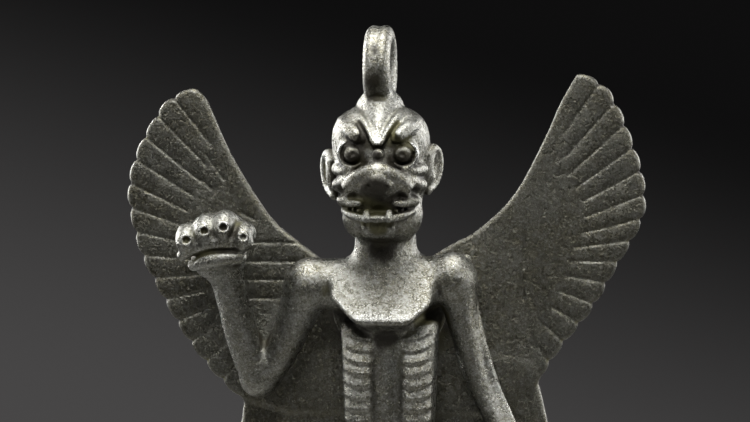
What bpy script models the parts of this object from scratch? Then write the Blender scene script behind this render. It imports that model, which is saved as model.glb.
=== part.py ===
"""A bronze figure of a winged demon, cast in one piece with its suspension ring and its low base.

The figure stands on the base facing -Y, with its right hand raised. Its forms are laid out on a
figure 131 parts tall from the soles to the crown, and one part is SHARE metres. Each form is a
distance to its surface. The forms are blended into one another in the order in which they are
added, as a modeller adds wax, and the mesh of their rough outlines is then drawn onto the result.
"""
import math

import bmesh
import bpy
import numpy as np
from mathutils import Matrix, Vector

# Driving sizes, in metres.
BODY_HEIGHT = 0.131
BASE_THICKNESS = 0.006
BASE_MARGIN = 0.0048
BASE_ROUNDING = 0.0006
RING_BORE = 0.0068
RING_WALL = 0.0034
RING_WIDTH = 0.0045
WING_THICKNESS = 0.0019
LOWER_WING_THICKNESS = 0.0018
RIB_PITCH = 0.00198
TRIANGLES = 9700
VOXEL = 0.00052

# The figure's own measure: heights count from the underside of a base six parts thick.
BODY_PARTS = 131.0
SOLES = 6.0
CROWN = SOLES + BODY_PARTS
SHARE = BODY_HEIGHT / BODY_PARTS
BOTH_SIDES = (-1, 1)

# Places that several forms share, in parts.
HEAD_X = -0.45
HEAD_TURN = 0.06
RING_X = -0.6
RING_Y = -0.6
RING_SUNK = 0.6
FOOT_X = 6.5
FOOT_Y = -2.2
HEEL_Y = 8.0
TOE_REACH = 12.0
TOE_SPREAD = math.radians(28)
TAIL_BACK = 19.5
RIGHT_PAW = (-27.6, -2.6, 114.5)
LEFT_PAW = (24.0, -3.4, 70.0)
RIGHT_RIBS_X = -3.4
LEFT_RIBS_X = 5.5
RIB_DEPTH = 0.75
QUILL_WIDTH = 0.5
QUILL_DEPTH = 0.45

# How the surface is found.
FAR = 50.0
REACH = 3.0
PROBE = 0.02

# The head is swollen by so much, about the face, while the mesh is thinned.
FACE_CENTRE = (0.0, -5.0, 125.0)
HEAD_REACH = 15.0
HEAD_SWELL = 2.3


def parts(metres):
    """A size in metres as parts of the figure."""
    return metres / SHARE


def smooth_min(a, b, blend):
    overlap = np.maximum(blend - np.abs(a - b), 0.0) / blend
    return np.minimum(a, b) - overlap * overlap * blend / 4


def smooth_max(a, b, blend):
    return -smooth_min(-a, -b, blend)


def curve_through(points, steps):
    """A smooth line through the points, with so many steps between two of them."""
    p = np.array(points, float)
    p = np.vstack([2 * p[0] - p[1], p, 2 * p[-1] - p[-2]])
    line = []
    for before, start, end, after in zip(p[:-3], p[1:-2], p[2:-1], p[3:]):
        for t in np.arange(steps) / steps:
            line.append(0.5 * (2 * start + (end - before) * t
                               + (2 * before - 5 * start + 4 * end - after) * t ** 2
                               + (3 * start - before - 3 * end + after) * t ** 3))
    line.append(p[-2])
    return np.array(line)


def mesh_arrays(bm):
    """Corner places and triangles of a bmesh, which is freed."""
    bmesh.ops.triangulate(bm, faces=bm.faces)
    bm.verts.index_update()
    corners = np.array([v.co for v in bm.verts])
    faces = np.array([[v.index for v in f.verts] for f in bm.faces])
    bm.free()
    return corners, faces


def unit_sphere():
    bm = bmesh.new()
    bmesh.ops.create_uvsphere(bm, u_segments=12, v_segments=8, radius=1)
    return mesh_arrays(bm)


SPHERE = unit_sphere()


class Ball:
    """An ellipsoid with its half sizes, leaned about Y."""

    def __init__(self, centre, radii, lean=0.0):
        self.centre = np.array(centre, float)
        self.radii = np.array(radii, float)
        self.axes = np.array(Matrix.Rotation(math.radians(lean), 3, "Y"))
        reach = np.sqrt(((self.axes * self.radii) ** 2).sum(1))
        self.low, self.high = self.centre - reach, self.centre + reach

    def distance(self, p):
        q = (p - self.centre) @ self.axes
        near = np.sqrt(((q / self.radii) ** 2).sum(1))
        slope = np.sqrt(((q / self.radii ** 2) ** 2).sum(1))
        return near * (near - 1) / np.maximum(slope, 1e-6)

    def rough(self):
        corners, faces = SPHERE
        return [((corners * self.radii) @ self.axes.T + self.centre, faces)]


class Limb:
    """A round bar along a smooth line, with a radius at each of its points."""

    def __init__(self, points, radii, steps=4):
        line = curve_through(np.column_stack([points, np.ones(len(points)) * radii]), steps)
        self.points, self.radii = line[:, :3], np.maximum(line[:, 3], 0.05)
        reach = self.radii[:, None]
        self.low, self.high = (self.points - reach).min(0), (self.points + reach).max(0)

    def distance(self, p):
        best = np.full(len(p), FAR)
        for a, b, start, end in zip(self.points[:-1], self.points[1:], self.radii[:-1], self.radii[1:]):
            best = np.minimum(best, self.cone_distance(p - a, b - a, start, end))
        return best

    @staticmethod
    def cone_distance(q, along, start, end):
        """Distance to a cone with round ends, from a point given from the first end."""
        length = np.sqrt(along @ along)
        up = (q @ along) / length
        out = np.sqrt(np.maximum((q ** 2).sum(1) - up * up, 0))
        lean = (start - end) / length
        if abs(lean) >= 1:
            end_ball = np.sqrt(out * out + (up - length) ** 2) - end
            return np.minimum(np.sqrt(out * out + up * up) - start, end_ball)
        straight = math.sqrt(1 - lean * lean)
        place = up * straight - out * lean
        side = out * straight + up * lean - start
        first = np.sqrt(out * out + up * up) - start
        last = np.sqrt(out * out + (up - length) ** 2) - end
        return np.where(place < 0, first, np.where(place > length * straight, last, side))

    def rough(self):
        corners, faces = SPHERE
        pieces = []
        for a, b, start, end in zip(self.points[:-1], self.points[1:], self.radii[:-1], self.radii[1:]):
            count = max(1, math.ceil(np.linalg.norm(b - a) / (0.7 * min(start, end))))
            for t in np.arange(count + 1) / count:
                pieces.append((corners * (start + (end - start) * t) + a + (b - a) * t, faces))
        return pieces


class Hoop:
    """A ring about an axis: the radius of its middle line and its section's half sizes."""

    def __init__(self, centre, radius, half_wall, half_width, axis):
        self.centre = np.array(centre, float)
        self.radius, self.half_wall, self.half_width = radius, half_wall, half_width
        self.axis = np.array(axis, float) / np.linalg.norm(axis)
        reach = radius + max(half_wall, half_width)
        self.low, self.high = self.centre - reach, self.centre + reach

    def distance(self, p):
        q = p - self.centre
        along = q @ self.axis
        out = np.sqrt(np.maximum((q ** 2).sum(1) - along ** 2, 0)) - self.radius
        u, v = out / self.half_wall, along / self.half_width
        near = np.sqrt(u * u + v * v)
        slope = np.sqrt((u / self.half_wall) ** 2 + (v / self.half_width) ** 2)
        return near * (near - 1) / np.maximum(slope, 1e-6)

    def rough(self):
        side = Vector(self.axis).orthogonal().normalized()
        other = Vector(self.axis).cross(side)
        angles = np.linspace(0, 2 * math.pi, 25)
        line = [self.centre + self.radius * (math.cos(a) * np.array(side) + math.sin(a) * np.array(other))
                for a in angles]
        return Limb(line, min(self.half_wall, self.half_width), 1).rough()


class Block:
    """A block bounded by planes, each given by a point on it and its outward direction."""

    def __init__(self, planes, rounding, low, high):
        self.planes = [(np.array(at, float), np.array(out, float) / np.linalg.norm(out)) for at, out in planes]
        self.rounding = rounding
        self.low, self.high = np.array(low, float), np.array(high, float)

    def distance(self, p):
        worst = None
        for at, out in self.planes:
            d = (p - at) @ out
            worst = d if worst is None else smooth_max(worst, d, self.rounding)
        return worst

    def rough(self):
        bm = bmesh.new()
        box = Matrix.Translation((self.low + self.high) / 2) @ Matrix.Diagonal((*(self.high - self.low), 1))
        bmesh.ops.create_cube(bm, size=1, matrix=box)
        for at, out in self.planes:
            everything = bm.verts[:] + bm.edges[:] + bm.faces[:]
            cut = bmesh.ops.bisect_plane(bm, geom=everything, plane_co=at, plane_no=out, clear_outer=True)
            rim = [part for part in cut["geom_cut"] if isinstance(part, bmesh.types.BMEdge)]
            if rim:
                bmesh.ops.holes_fill(bm, edges=rim)
        return [mesh_arrays(bm)]


class Plate:
    """An upright plate: an outline in X and Z, a thickness, and lines cut into the front."""

    GRID = 0.25
    PAD = 3.0

    def __init__(self, outline, middle, thickness, lines, rounding=0.9):
        self.outline = np.array(outline, float)
        self.middle, self.half, self.rounding = middle, thickness / 2, rounding
        self.start = self.outline.min(0) - self.PAD
        stop = self.outline.max(0) + self.PAD
        count = np.ceil((stop - self.start) / self.GRID).astype(int) + 1
        axes = [self.start[k] + np.arange(count[k]) * self.GRID for k in range(2)]
        grid = np.stack(np.meshgrid(*axes, indexing="ij"), -1).reshape(-1, 2)
        self.edge = self.edge_distance(grid).reshape(count)
        self.depth = self.line_depth(grid, lines).reshape(count)
        y = [middle(x) for x, z in self.outline]
        self.low = np.array([self.start[0] + 2, min(y) - self.half - 1, self.start[1] + 2])
        self.high = np.array([stop[0] - 2, max(y) + self.half + 1, stop[1] - 2])

    def edge_distance(self, grid):
        nearest = np.full(len(grid), FAR * FAR)
        inside = np.zeros(len(grid), bool)
        for a, b in zip(self.outline, np.roll(self.outline, -1, axis=0)):
            along = b - a
            t = np.clip(((grid - a) @ along) / (along @ along), 0, 1)
            nearest = np.minimum(nearest, ((grid - a - t[:, None] * along) ** 2).sum(1))
            if a[1] != b[1]:
                beyond = grid[:, 0] < a[0] + (grid[:, 1] - a[1]) * along[0] / along[1]
                inside ^= ((a[1] > grid[:, 1]) != (b[1] > grid[:, 1])) & beyond
        return np.where(inside, -1, 1) * np.sqrt(nearest)

    @staticmethod
    def line_depth(grid, lines):
        depth = np.zeros(len(grid))
        for a, b, width, deep in lines:
            along = b - a
            t = np.clip(((grid - a) @ along) / (along @ along), 0, 1)
            gap = ((grid - a - t[:, None] * along) ** 2).sum(1)
            depth = np.maximum(depth, deep * np.exp(-gap / width ** 2))
        return depth

    def read(self, table, p):
        u, v = (p[:, 0] - self.start[0]) / self.GRID, (p[:, 2] - self.start[1]) / self.GRID
        i = np.clip(u.astype(int), 0, table.shape[0] - 2)
        j = np.clip(v.astype(int), 0, table.shape[1] - 2)
        s, t = np.clip(u - i, 0, 1), np.clip(v - j, 0, 1)
        return ((table[i, j] * (1 - s) + table[i + 1, j] * s) * (1 - t)
                + (table[i, j + 1] * (1 - s) + table[i + 1, j + 1] * s) * t)

    def distance(self, p):
        behind = p[:, 1] - self.middle(p[:, 0])
        face = np.abs(behind) - self.half + np.where(behind < 0, self.read(self.depth, p), 0)
        return smooth_max(self.read(self.edge, p), face, self.rounding)

    def rough(self):
        bm = bmesh.new()
        face = bm.faces.new([bm.verts.new((x, self.middle(x) - self.half, z)) for x, z in self.outline])
        grown = bmesh.ops.extrude_face_region(bm, geom=[face])
        moved = [part for part in grown["geom"] if isinstance(part, bmesh.types.BMVert)]
        bmesh.ops.translate(bm, verts=moved, vec=(0, 2 * self.half, 0))
        bmesh.ops.holes_fill(bm, edges=[edge for edge in bm.edges if edge.is_boundary])
        bmesh.ops.recalc_face_normals(bm, faces=bm.faces)
        return [mesh_arrays(bm)]


class Waves:
    """Rows of ribs raised on the surface that is there already."""

    def __init__(self, height, low, high):
        self.distance, self.low, self.high = height, np.array(low, float), np.array(high, float)


class Wax:
    """The forms, in the order in which they are blended."""

    def __init__(self):
        self.steps = []

    def add(self, form, blend=1.0):
        self.steps.append(("add", form, blend))

    def cut(self, form, blend=0.5):
        self.steps.append(("cut", form, blend))

    def raised(self, waves):
        self.steps.append(("raise", waves, 0.0))

    def distance(self, points):
        """Distance of each point to the blended surface, below zero inside it."""
        order = np.argsort(points[:, 2], kind="stable")
        p = points[order]
        d = np.full(len(p), FAR)
        for kind, form, blend in self.steps:
            first, last = np.searchsorted(p[:, 2], (form.low[2] - REACH, form.high[2] + REACH))
            block = p[first:last]
            near = ((block[:, :2] > form.low[:2] - REACH) & (block[:, :2] < form.high[:2] + REACH)).all(1)
            at = first + np.nonzero(near)[0]
            if not len(at):
                continue
            f = form.distance(p[at])
            if kind == "add":
                d[at] = smooth_min(d[at], f, blend)
            elif kind == "cut":
                d[at] = smooth_max(d[at], -f, blend)
            else:
                d[at] -= f
        out = np.empty_like(d)
        out[order] = d
        return out

    def slope(self, p):
        """Distance and its gradient."""
        probes = np.concatenate([p] + [p + PROBE * step for step in np.eye(3)])
        f = self.distance(probes).reshape(4, -1)
        return f[0], (f[1:] - f[0]).T / PROBE

    def rough_mesh(self, name):
        corners, faces, count = [], [], 0
        for kind, form, blend in self.steps:
            if kind != "add":
                continue
            for places, triangles in form.rough():
                corners.append(places)
                faces.append(triangles + count)
                count += len(places)
        mesh = bpy.data.meshes.new(name)
        mesh.from_pydata(np.vstack(corners), [], np.vstack(faces))
        return mesh

    def settle(self, mesh, rounds, furthest):
        """Moves the mesh onto the blended surface, and evens its corners along it."""
        count = len(mesh.vertices)
        flat = np.empty(count * 3, np.float32)
        mesh.vertices.foreach_get("co", flat)
        p = flat.reshape(-1, 3).astype(float)
        ends = np.empty(len(mesh.edges) * 2, np.int32)
        mesh.edges.foreach_get("vertices", ends)
        a, b = ends[0::2], ends[1::2]
        links = np.bincount(ends, minlength=count)[:, None]
        for turn in range(rounds):
            d, gradient = self.slope(p)
            size = np.sqrt(np.maximum((gradient ** 2).sum(1), 0.05))[:, None]
            p -= np.clip(d[:, None] / size, -furthest, furthest) * gradient / size
            if turn < rounds - 1:
                total = np.stack([np.bincount(a, p[b, k], count) + np.bincount(b, p[a, k], count)
                                  for k in range(3)], 1)
                pull = total / links - p
                normal = gradient / size
                pull -= (pull * normal).sum(1)[:, None] * normal
                p += 0.4 * pull
        mesh.vertices.foreach_set("co", p.astype(np.float32).ravel())
        mesh.update()


def base(wax):
    """The low block that the feet stand on, as wide and deep as they need."""
    margin, thickness = parts(BASE_MARGIN), parts(BASE_THICKNESS)
    side = FOOT_X + TOE_REACH * math.sin(TOE_SPREAD) + margin
    front = FOOT_Y - TOE_REACH - margin
    back = TAIL_BACK
    under = SOLES - thickness
    faces = [((0, front, 0), (0, -1, 0)), ((0, back, 0), (0, 1, 0)), ((-side, 0, 0), (-1, 0, 0)),
             ((side, 0, 0), (1, 0, 0)), ((0, 0, SOLES), (0, 0, 1)), ((0, 0, under), (0, 0, -1))]
    wax.add(Block(faces, parts(BASE_ROUNDING), (-side, front, under), (side, back, SOLES)))


def feather_tips(edge, feathers, bulge, steps=7):
    """A wing's edge with a rounded tip to each feather, and the notches between the tips."""
    line = curve_through(edge, 8)
    run = np.concatenate([[0], np.cumsum(np.linalg.norm(np.diff(line, axis=0), axis=1))])

    def on_edge(share):
        return np.array([np.interp(share * run[-1], run, line[:, k]) for k in range(2)])

    points, notches = [], []
    for feather in range(feathers):
        for step in range(steps):
            share = (feather + step / steps) / feathers
            along = on_edge(share + 0.004) - on_edge(share - 0.004)
            outward = np.array([-along[1], along[0]]) / np.linalg.norm(along)
            points.append(on_edge(share) + outward * bulge * math.sin(math.pi * step / steps) ** 0.6)
            if step == 0 and feather:
                notches.append(on_edge(share))
    return points + [on_edge(1)], notches


def quill_lines(notches, root, lengths):
    """A cut line from each notch towards the wing's root."""
    lines = []
    for number, notch in enumerate(notches):
        inward = (np.array(root) - notch) / np.linalg.norm(np.array(root) - notch)
        share = number / (len(notches) - 1) * (len(lengths) - 1)
        lines.append((notch, notch + inward * np.interp(share, range(len(lengths)), lengths)))
    return lines


def wing(wax, side, outline, lines, middle, thickness):
    mirrored = [(np.array(a) * (side, 1), np.array(b) * (side, 1), QUILL_WIDTH, QUILL_DEPTH) for a, b in lines]
    wax.add(Plate(np.array(outline) * (side, 1), middle, parts(thickness), mirrored), 1.2)


def upper_wings(wax):
    """The raised wings, each with its own outline, the left one a little higher."""
    def middle(x):
        return 8.3 + 0.045 * np.abs(x)

    leading = {-1: [(9, 108.5), (12.5, 111.7), (15.5, 113.9), (20.1, 117.9), (25.1, 125.3), (28.1, 130.9),
                    (30.9, 137.2), (32.6, 139.2)],
               1: [(6, 111), (10.5, 113.7), (14.8, 116.1), (20.8, 122), (25.7, 131.1), (28.3, 137.0),
                   (30.4, 141.0)]}
    edges = {-1: [(32.6, 139.2), (37.1, 137.2), (40.2, 133), (42.4, 128.7), (43.7, 124.3), (43.8, 119.9),
                  (41.9, 112.1), (38.2, 104.7), (34.2, 98.0), (29.6, 92.2), (25.2, 88.0)],
             1: [(30.4, 141), (35.0, 139), (37.8, 134.8), (39.9, 130.1), (41.3, 125.9), (41.9, 121.5),
                 (41.2, 117.3), (37.2, 110.0), (33.0, 102.9), (28.2, 96.9), (24.2, 91.0)]}
    roots = {-1: (13.8, 109.3), 1: (14.2, 111.0)}
    for side in BOTH_SIDES:
        tips, notches = feather_tips(edges[side], 15, 0.62)
        outline = [*curve_through(leading[side], 4)[:-1], *tips, (17, 85.5), (5, 85.5)]
        lines = quill_lines(notches, roots[side], (10, 12.5, 11, 10, 9.5, 7.5, 6, 4.5, 3.5))
        wing(wax, side, outline, lines, middle, WING_THICKNESS)


def lower_wings(wax):
    """The lower wings, which hang behind the hips and flare outwards."""
    def middle(x):
        return 8.9 + 0.03 * np.abs(x)

    for side, flare in ((-1, -1.1), (1, 0.0)):
        leading = [(7, 95), (21.5, 94.0), (24.4, 91.0), (26.1 + flare, 84.6), (28.5 + flare, 74.0), (31.6, 62),
                   (34.4, 52)]
        trailing = [(34.4, 52), (34.9, 48.6), (32.2, 46.6), (27.4, 48.2), (21, 51.2), (14, 54.4), (7, 57.5)]
        tips, notches = feather_tips(trailing, 9, 0.55)
        outline = [*curve_through(leading, 4)[:-1], *tips, (2, 60), (2, 92)]
        lines = quill_lines(notches, (14, 98), (15, 18, 16, 12))
        wing(wax, side, outline, lines, middle, LOWER_WING_THICKNESS)


def trunk(wax):
    """A lean trunk with two standing columns of ribs, under a chest plate like an upturned trapezium."""
    wax.add(Limb([(1.1, 1.6, 102), (1.2, 1.6, 92), (1.2, 1.6, 80), (0.8, 1.4, 70)], (6.3, 6.1, 5.6, 6.2)), 1.5)
    for x, side in ((RIGHT_RIBS_X, -1), (LEFT_RIBS_X, 1)):
        column = [(x, -3.1, 101), (x, -3.3, 92), (x - side * 0.3, -2.6, 82), (x - side * 0.8, -1.4, 74)]
        wax.add(Limb(column, (3.3, 3.3, 3.0, 2.6)), 0.7)
    wax.add(Ball((0.6, 1.4, 64.5), (8.2, 6.0, 6.5)), 2.5)
    wax.cut(Limb([(1.1, -7.2, 101), (1.1, -7.0, 91), (1.0, -6.3, 81), (0.8, -5.8, 73)],
                 (2.0, 2.1, 1.8, 1.0)), 1.0)
    wax.add(Ball((0.4, 4.5, 103), (9.5, 4.0, 8.0)), 2.5)
    wax.add(Limb([(-12.2, 0.6, 107.4), (-5, 0.6, 107.2), (5, 0.6, 107.5), (11.4, 0.6, 108.4)],
                 (3.8, 4.5, 4.5, 3.4)), 1.5)
    wax.add(Limb([(0.2, 0.2, 120), (0.2, 0.6, 107)], (4.9, 5.2)), 2.4)
    lean, underside, slant = (0, -1, 0.72), (0, -0.45, -1), 0.95
    wax.add(Block([((0, -8.9, 101.8), lean), ((0, -8.9, 101.2), underside),
                   ((-4.5, 0, 101.4), (-1, 0.1, -slant)), ((4.6, 0, 101.4), (1, 0.1, -slant)),
                   ((-9.0, 0, 106), (-1, -0.1, 0.1)), ((9.2, 0, 106), (1, -0.1, 0.1)),
                   ((0, 0, 109.6), (0, -0.3, 1)), ((0, 4, 105), (0, 1, 0))],
                  2.2, (-9.8, -9.9, 100.8), (10, 4, 111.5)), 2.2)
    wax.add(Ball((0.2, -3.6, 105.0), (7.5, 4.6, 4.4)), 2.5)


def rib_waves(wax):
    """Ribs across both columns, each rib rising outwards and overhanging the one below."""
    pitch = parts(RIB_PITCH)

    def height(p):
        x, y, z = p.T
        total = np.zeros(len(p))
        for middle, outward in ((RIGHT_RIBS_X, -1), (LEFT_RIBS_X, 1)):
            across = (x - middle) * outward
            tilt = 0.28 * np.clip((z - 84) / 16, 0.15, 1.4) * across + 0.06 * across ** 2
            turn = 2 * math.pi * (z - tilt) / pitch
            wave = (np.cos(turn) - 0.35 * np.sin(2 * turn)) * 0.5 - 0.5
            on_column = np.exp(-(across / 3.0) ** 6) * np.clip((-1 - y) / 2, 0, 1)
            total += RIB_DEPTH * wave * on_column * np.clip((101 - z) / 1.5, 0, 1) * np.clip((z - 68) / 4, 0, 1)
        return total

    wax.raised(Waves(height, (-9, -12, 66), (11, 2, 102)))


def right_arm(wax):
    """The raised arm: its elbow touches the wing, and its paw shows the palm side to the front."""
    wax.add(Ball((-12.6, -0.3, 107.2), (3.9, 3.9, 4.2)), 1.6)
    wax.add(Limb([(-12.8, 0, 107.0), (-15.0, 0.8, 101), (-17.8, 1.8, 95.5), (-20.6, 2.6, 91.8)],
                 (3.9, 3.1, 2.9, 3.0)), 1.2)
    wax.add(Ball((-21.2, 3.0, 91.0), (2.8, 3.0, 2.7)), 1.0)
    wax.add(Limb([(-21.2, 2.4, 91.8), (-23.6, 0.6, 98.5), (-25.2, -0.6, 104), (-26.9, -1.6, 109.5)],
                 (3.1, 2.9, 2.85, 3.0)), 1.0)
    x, y, z = RIGHT_PAW
    wax.add(Ball((x + 0.2, y + 2.0, z + 0.4), (5.7, 2.7, 4.1)), 1.4)
    wax.add(Ball((x + 0.4, y + 1.2, z - 1.9), (4.6, 2.6, 3.2)), 1.2)
    toes = [(-4.9, 0.3, 1.75), (-1.8, 1.8, 1.8), (1.4, 2.4, 1.8), (5.0, 0.6, 1.6)]
    for across, up, thick in toes:
        wax.add(Limb([(x + across * 0.97, y + 2.2, z + up + 0.5), (x + across, y - 0.8, z + up + 0.95),
                      (x + across, y - 2.9, z + up - 0.1), (x + across, y - 3.0, z + up - 1.3)],
                     np.array([1, 1, 0.92, 0.62]) * thick), 0.55)
    wax.add(Limb([(x - 5.3, y - 1.9, z - 2.4), (x - 3.0, y - 2.8, z - 1.1), (x + 0.5, y - 3.0, z - 0.2),
                  (x + 5.8, y - 2.2, z - 0.4)], (0.9, 1.05, 1.1, 0.9)), 0.6)
    wax.add(Limb([(x - 3.4, y - 1.6, z - 4.0), (x - 0.6, y - 2.5, z - 3.1), (x + 3.8, y - 2.1, z - 2.4)],
                 (1.0, 1.3, 1.1)), 0.6)
    for across, up, thick in toes:
        wax.cut(Ball((x + across, y - 4.4, z + up + 0.1), (0.85, 1.2, 0.75)), 0.3)


def left_arm(wax):
    """The lowered arm, with a crest along its outer side and a clawed paw beside the hip."""
    wax.add(Ball((11.4, -0.1, 108.6), (3.3, 3.7, 4.0)), 1.6)
    wax.add(Limb([(11.8, 0.2, 108.0), (13.2, 1.2, 100), (15.5, 2.2, 91.5), (18.9, 1.6, 84.6), (21.8, -0.2, 77.5),
                  (23.3, -1.8, 73.5)], (3.4, 2.4, 2.2, 2.3, 2.3, 2.4)), 1.2)
    wax.add(Limb([(13.4, 2.8, 111.5), (14.7, 1.8, 104), (16.3, 1.6, 97), (18.5, 1.6, 90), (20.9, 0.8, 84.6),
                  (23.2, -0.6, 78)], (0.7, 0.8, 0.8, 0.8, 0.8, 0.7)), 0.6)
    x, y, z = LEFT_PAW
    wax.add(Ball((x, y + 0.6, z), (4.2, 2.6, 3.8)), 1.4)
    for across in (-3.9, -1.4, 1.2, 3.8):
        wax.add(Limb([(x + across * 0.8, y + 0.4, z - 1.0), (x + across, y - 1.6, z - 2.6),
                      (x + across, y - 1.9, z - 4.9)], (1.6, 1.5, 0.9)), 0.5)
    wax.add(Limb([(x - 4.0, y - 0.6, z + 1.8), (x - 4.0, y - 2.2, z - 0.6)], (1.4, 0.9)), 0.6)


def legs(wax):
    """Legs like a bird's below the knee: a bent shank, a spur, three toes forward and one back."""
    for side in BOTH_SIDES:
        knee, ankle = (side * 6.1, -3.0, 41.5), (side * 6.4, 2.6, 18.5)
        wax.add(Limb([(side * 4.4 + 0.3, 0.8, 62), (side * 5.3 + 0.2, -0.6, 54), (side * 5.9, -2.2, 46), knee],
                     (4.9, 4.4, 3.5, 2.9)), 1.8)
        wax.add(Limb([knee, (side * 6.2, -0.6, 33), (side * 6.3, 1.6, 25), ankle], (2.9, 2.7, 2.2, 2.0)), 1.2)
        foot = np.array((side * FOOT_X, FOOT_Y, 8.6))
        wax.add(Limb([ankle, (side * 6.5, 0.9, 13.5), foot + (0, 0.4, 0.6)], (2.0, 1.8, 2.1)), 0.8)
        for turn in (-TOE_SPREAD, 0, TOE_SPREAD):
            ahead = np.array((math.sin(turn), -math.cos(turn), 0))
            wax.add(Limb([foot + (0, 0, 0.2), foot + ahead * 3.4 + (0, 0, 0.6), foot + ahead * 7.0,
                          foot + ahead * 9.6 + (0, 0, -0.9), foot + ahead * TOE_REACH + (0, 0, -2.2)],
                         (1.8, 1.75, 1.5, 1.3, 0.5)), 0.6)
        wax.add(Limb([foot + (0, 1, 0.2), foot + (0, 5, 0), foot + (0, HEEL_Y, -1.8)], (1.7, 1.4, 0.8)), 0.6)
        wax.add(Limb([(side * 6.4, 3.4, 21), (side * 6.4, 6.0, 19.8), (side * 6.4, 7.4, 17.6)],
                     (1.5, 1.1, 0.6)), 0.8)


def tail(wax):
    """A scorpion's tail, in beads, rising behind the lower wings."""
    line = curve_through([(0.4, 8.5, 63.5), (0.3, 13.0, 59.5), (0.2, 18.0, 59.5), (0.1, 21.3, 64),
                          (0, 21.6, 70.5), (0, 19.4, 76)], 1)
    wax.add(Limb(line, (3.0, 2.3, 2.1, 2.0, 1.8, 1.6)), 1.5)
    for place, size in zip(line, (3.2, 2.7, 2.5, 2.4, 2.2, 2.0)):
        wax.add(Ball(place, (size, size, size)), 0.5)
    wax.add(Ball((0, 17.6, 79.0), (2.0, 2.2, 2.0)), 0.6)
    wax.add(Limb([(0, 16.6, 80.2), (0, 14.6, 81.4), (0, 12.9, 80.4)], (1.3, 0.9, 0.45)), 0.4)


def head_at(x, y, z):
    """A place on the head, which looks a little to the figure's left."""
    return x + HEAD_X - HEAD_TURN * y, y, z


def head(wax):
    """The skull, brow, snout and jaw."""
    wax.add(Ball(head_at(0.1, -1.2, 129.4), (8.0, 8.6, 8.0)), 1.5)
    for side in BOTH_SIDES:
        wax.add(Ball(head_at(side * 3.9, -2.6, 132.0), (3.9, 5.9, 4.2)), 1.2)
        wax.add(Ball(head_at(side * 3.5 + 0.45, -4.2, 119.0), (3.1, 4.6, 4.0)), 1.2)
    wax.add(Ball(head_at(0.45, -4.6, 118.9), (5.2, 5.6, 4.3)), 1.2)
    wax.add(Ball(head_at(0.3, -3.0, 124.0), (7.1, 6.6, 6.4)), 1.2)
    snout(wax)
    forehead(wax)
    for side in BOTH_SIDES:
        brow(wax, side)
        eye(wax, side)
        cheek(wax, side)
        ear(wax, side)
    wax.add(Ball(head_at(0.15, -11.0, 129.1), (0.95, 1.1, 0.95)), 0.25)
    mouth(wax)


def forehead(wax):
    """A smooth wedge from the crown down to the root of the nose."""
    wax.add(Limb([head_at(0, -1.8, 136.2), head_at(0, -5.6, 134.6), head_at(0, -8.4, 132.8),
                  head_at(0, -10.2, 131.2)], (3.7, 2.3, 1.3, 0.5)), 0.7)


def brow(wax, side):
    """Two rolls from the crown to the root of the nose, and the deep hollow under them."""
    wax.add(Limb([head_at(side * 4.3, -3.4, 136.0), head_at(side * 3.1, -6.7, 135.1),
                  head_at(side * 1.9, -8.9, 133.4), head_at(side * 1.1, -10.2, 131.8),
                  head_at(side * 0.4, -10.9, 130.8)], (0.4, 0.7, 0.65, 0.6, 0.5)), 0.3)
    wax.add(Limb([head_at(side * 6.2, -4.4, 134.4), head_at(side * 5.1, -7.3, 133.4),
                  head_at(side * 3.7, -9.3, 132.3), head_at(side * 2.8, -10.2, 131.5)],
                 (0.6, 1.2, 1.2, 0.8)), 0.7)
    wax.cut(Limb([head_at(side * 3.2, -8.4, 134.0), head_at(side * 2.4, -10.0, 132.4),
                  head_at(side * 2.2, -11.2, 130.8), head_at(side * 2.15, -11.5, 129.0)],
                 (0.2, 0.45, 0.95, 0.95)), 0.5)
    wax.cut(Ball(head_at(side * 2.9, -12.0, 130.7), (1.2, 2.2, 1.5)), 0.6)


def eye(wax, side):
    """A bulging eyeball in a round socket with a raised lid below and outside."""
    x, z = side * 4.15, 129.1
    wax.cut(Ball(head_at(x, -11.8, z), (2.3, 2.6, 2.3)), 0.6)
    wax.add(Ball(head_at(x, -7.8, z), (2.6, 1.8, 2.6)), 0.4)
    lid = []
    for angle in np.radians(np.linspace(-130, 65, 6)):
        across, up = 2.3 * math.cos(angle), 2.3 * math.sin(angle)
        lid.append(head_at(x + side * (across + 0.1), -9.8 + 0.22 * across, z + up))
    wax.add(Limb(lid, 0.45, 2), 0.5)
    wax.add(Ball(head_at(x, -9.2, z), (1.6, 1.8, 1.6)), 0.3)


def cheek(wax, side):
    """Two pads that fan from the snout to the ear, over a hollow beside the mouth."""
    wax.add(Limb([head_at(side * 4.4, -9.9, 126.6), head_at(side * 5.8, -8.2, 126.3),
                  head_at(side * 6.9, -4.8, 126.3)], (0.5, 1.05, 1.35)), 0.35)
    wax.add(Limb([head_at(side * 4.4, -10.0, 125.5), head_at(side * 5.7, -8.4, 124.5),
                  head_at(side * 6.8, -5.2, 123.9)], (0.5, 1.0, 1.35)), 0.35)
    wax.cut(Ball(head_at(side * 6.3, -8.9, 122.8), (1.2, 1.6, 0.8)), 0.7)


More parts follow.
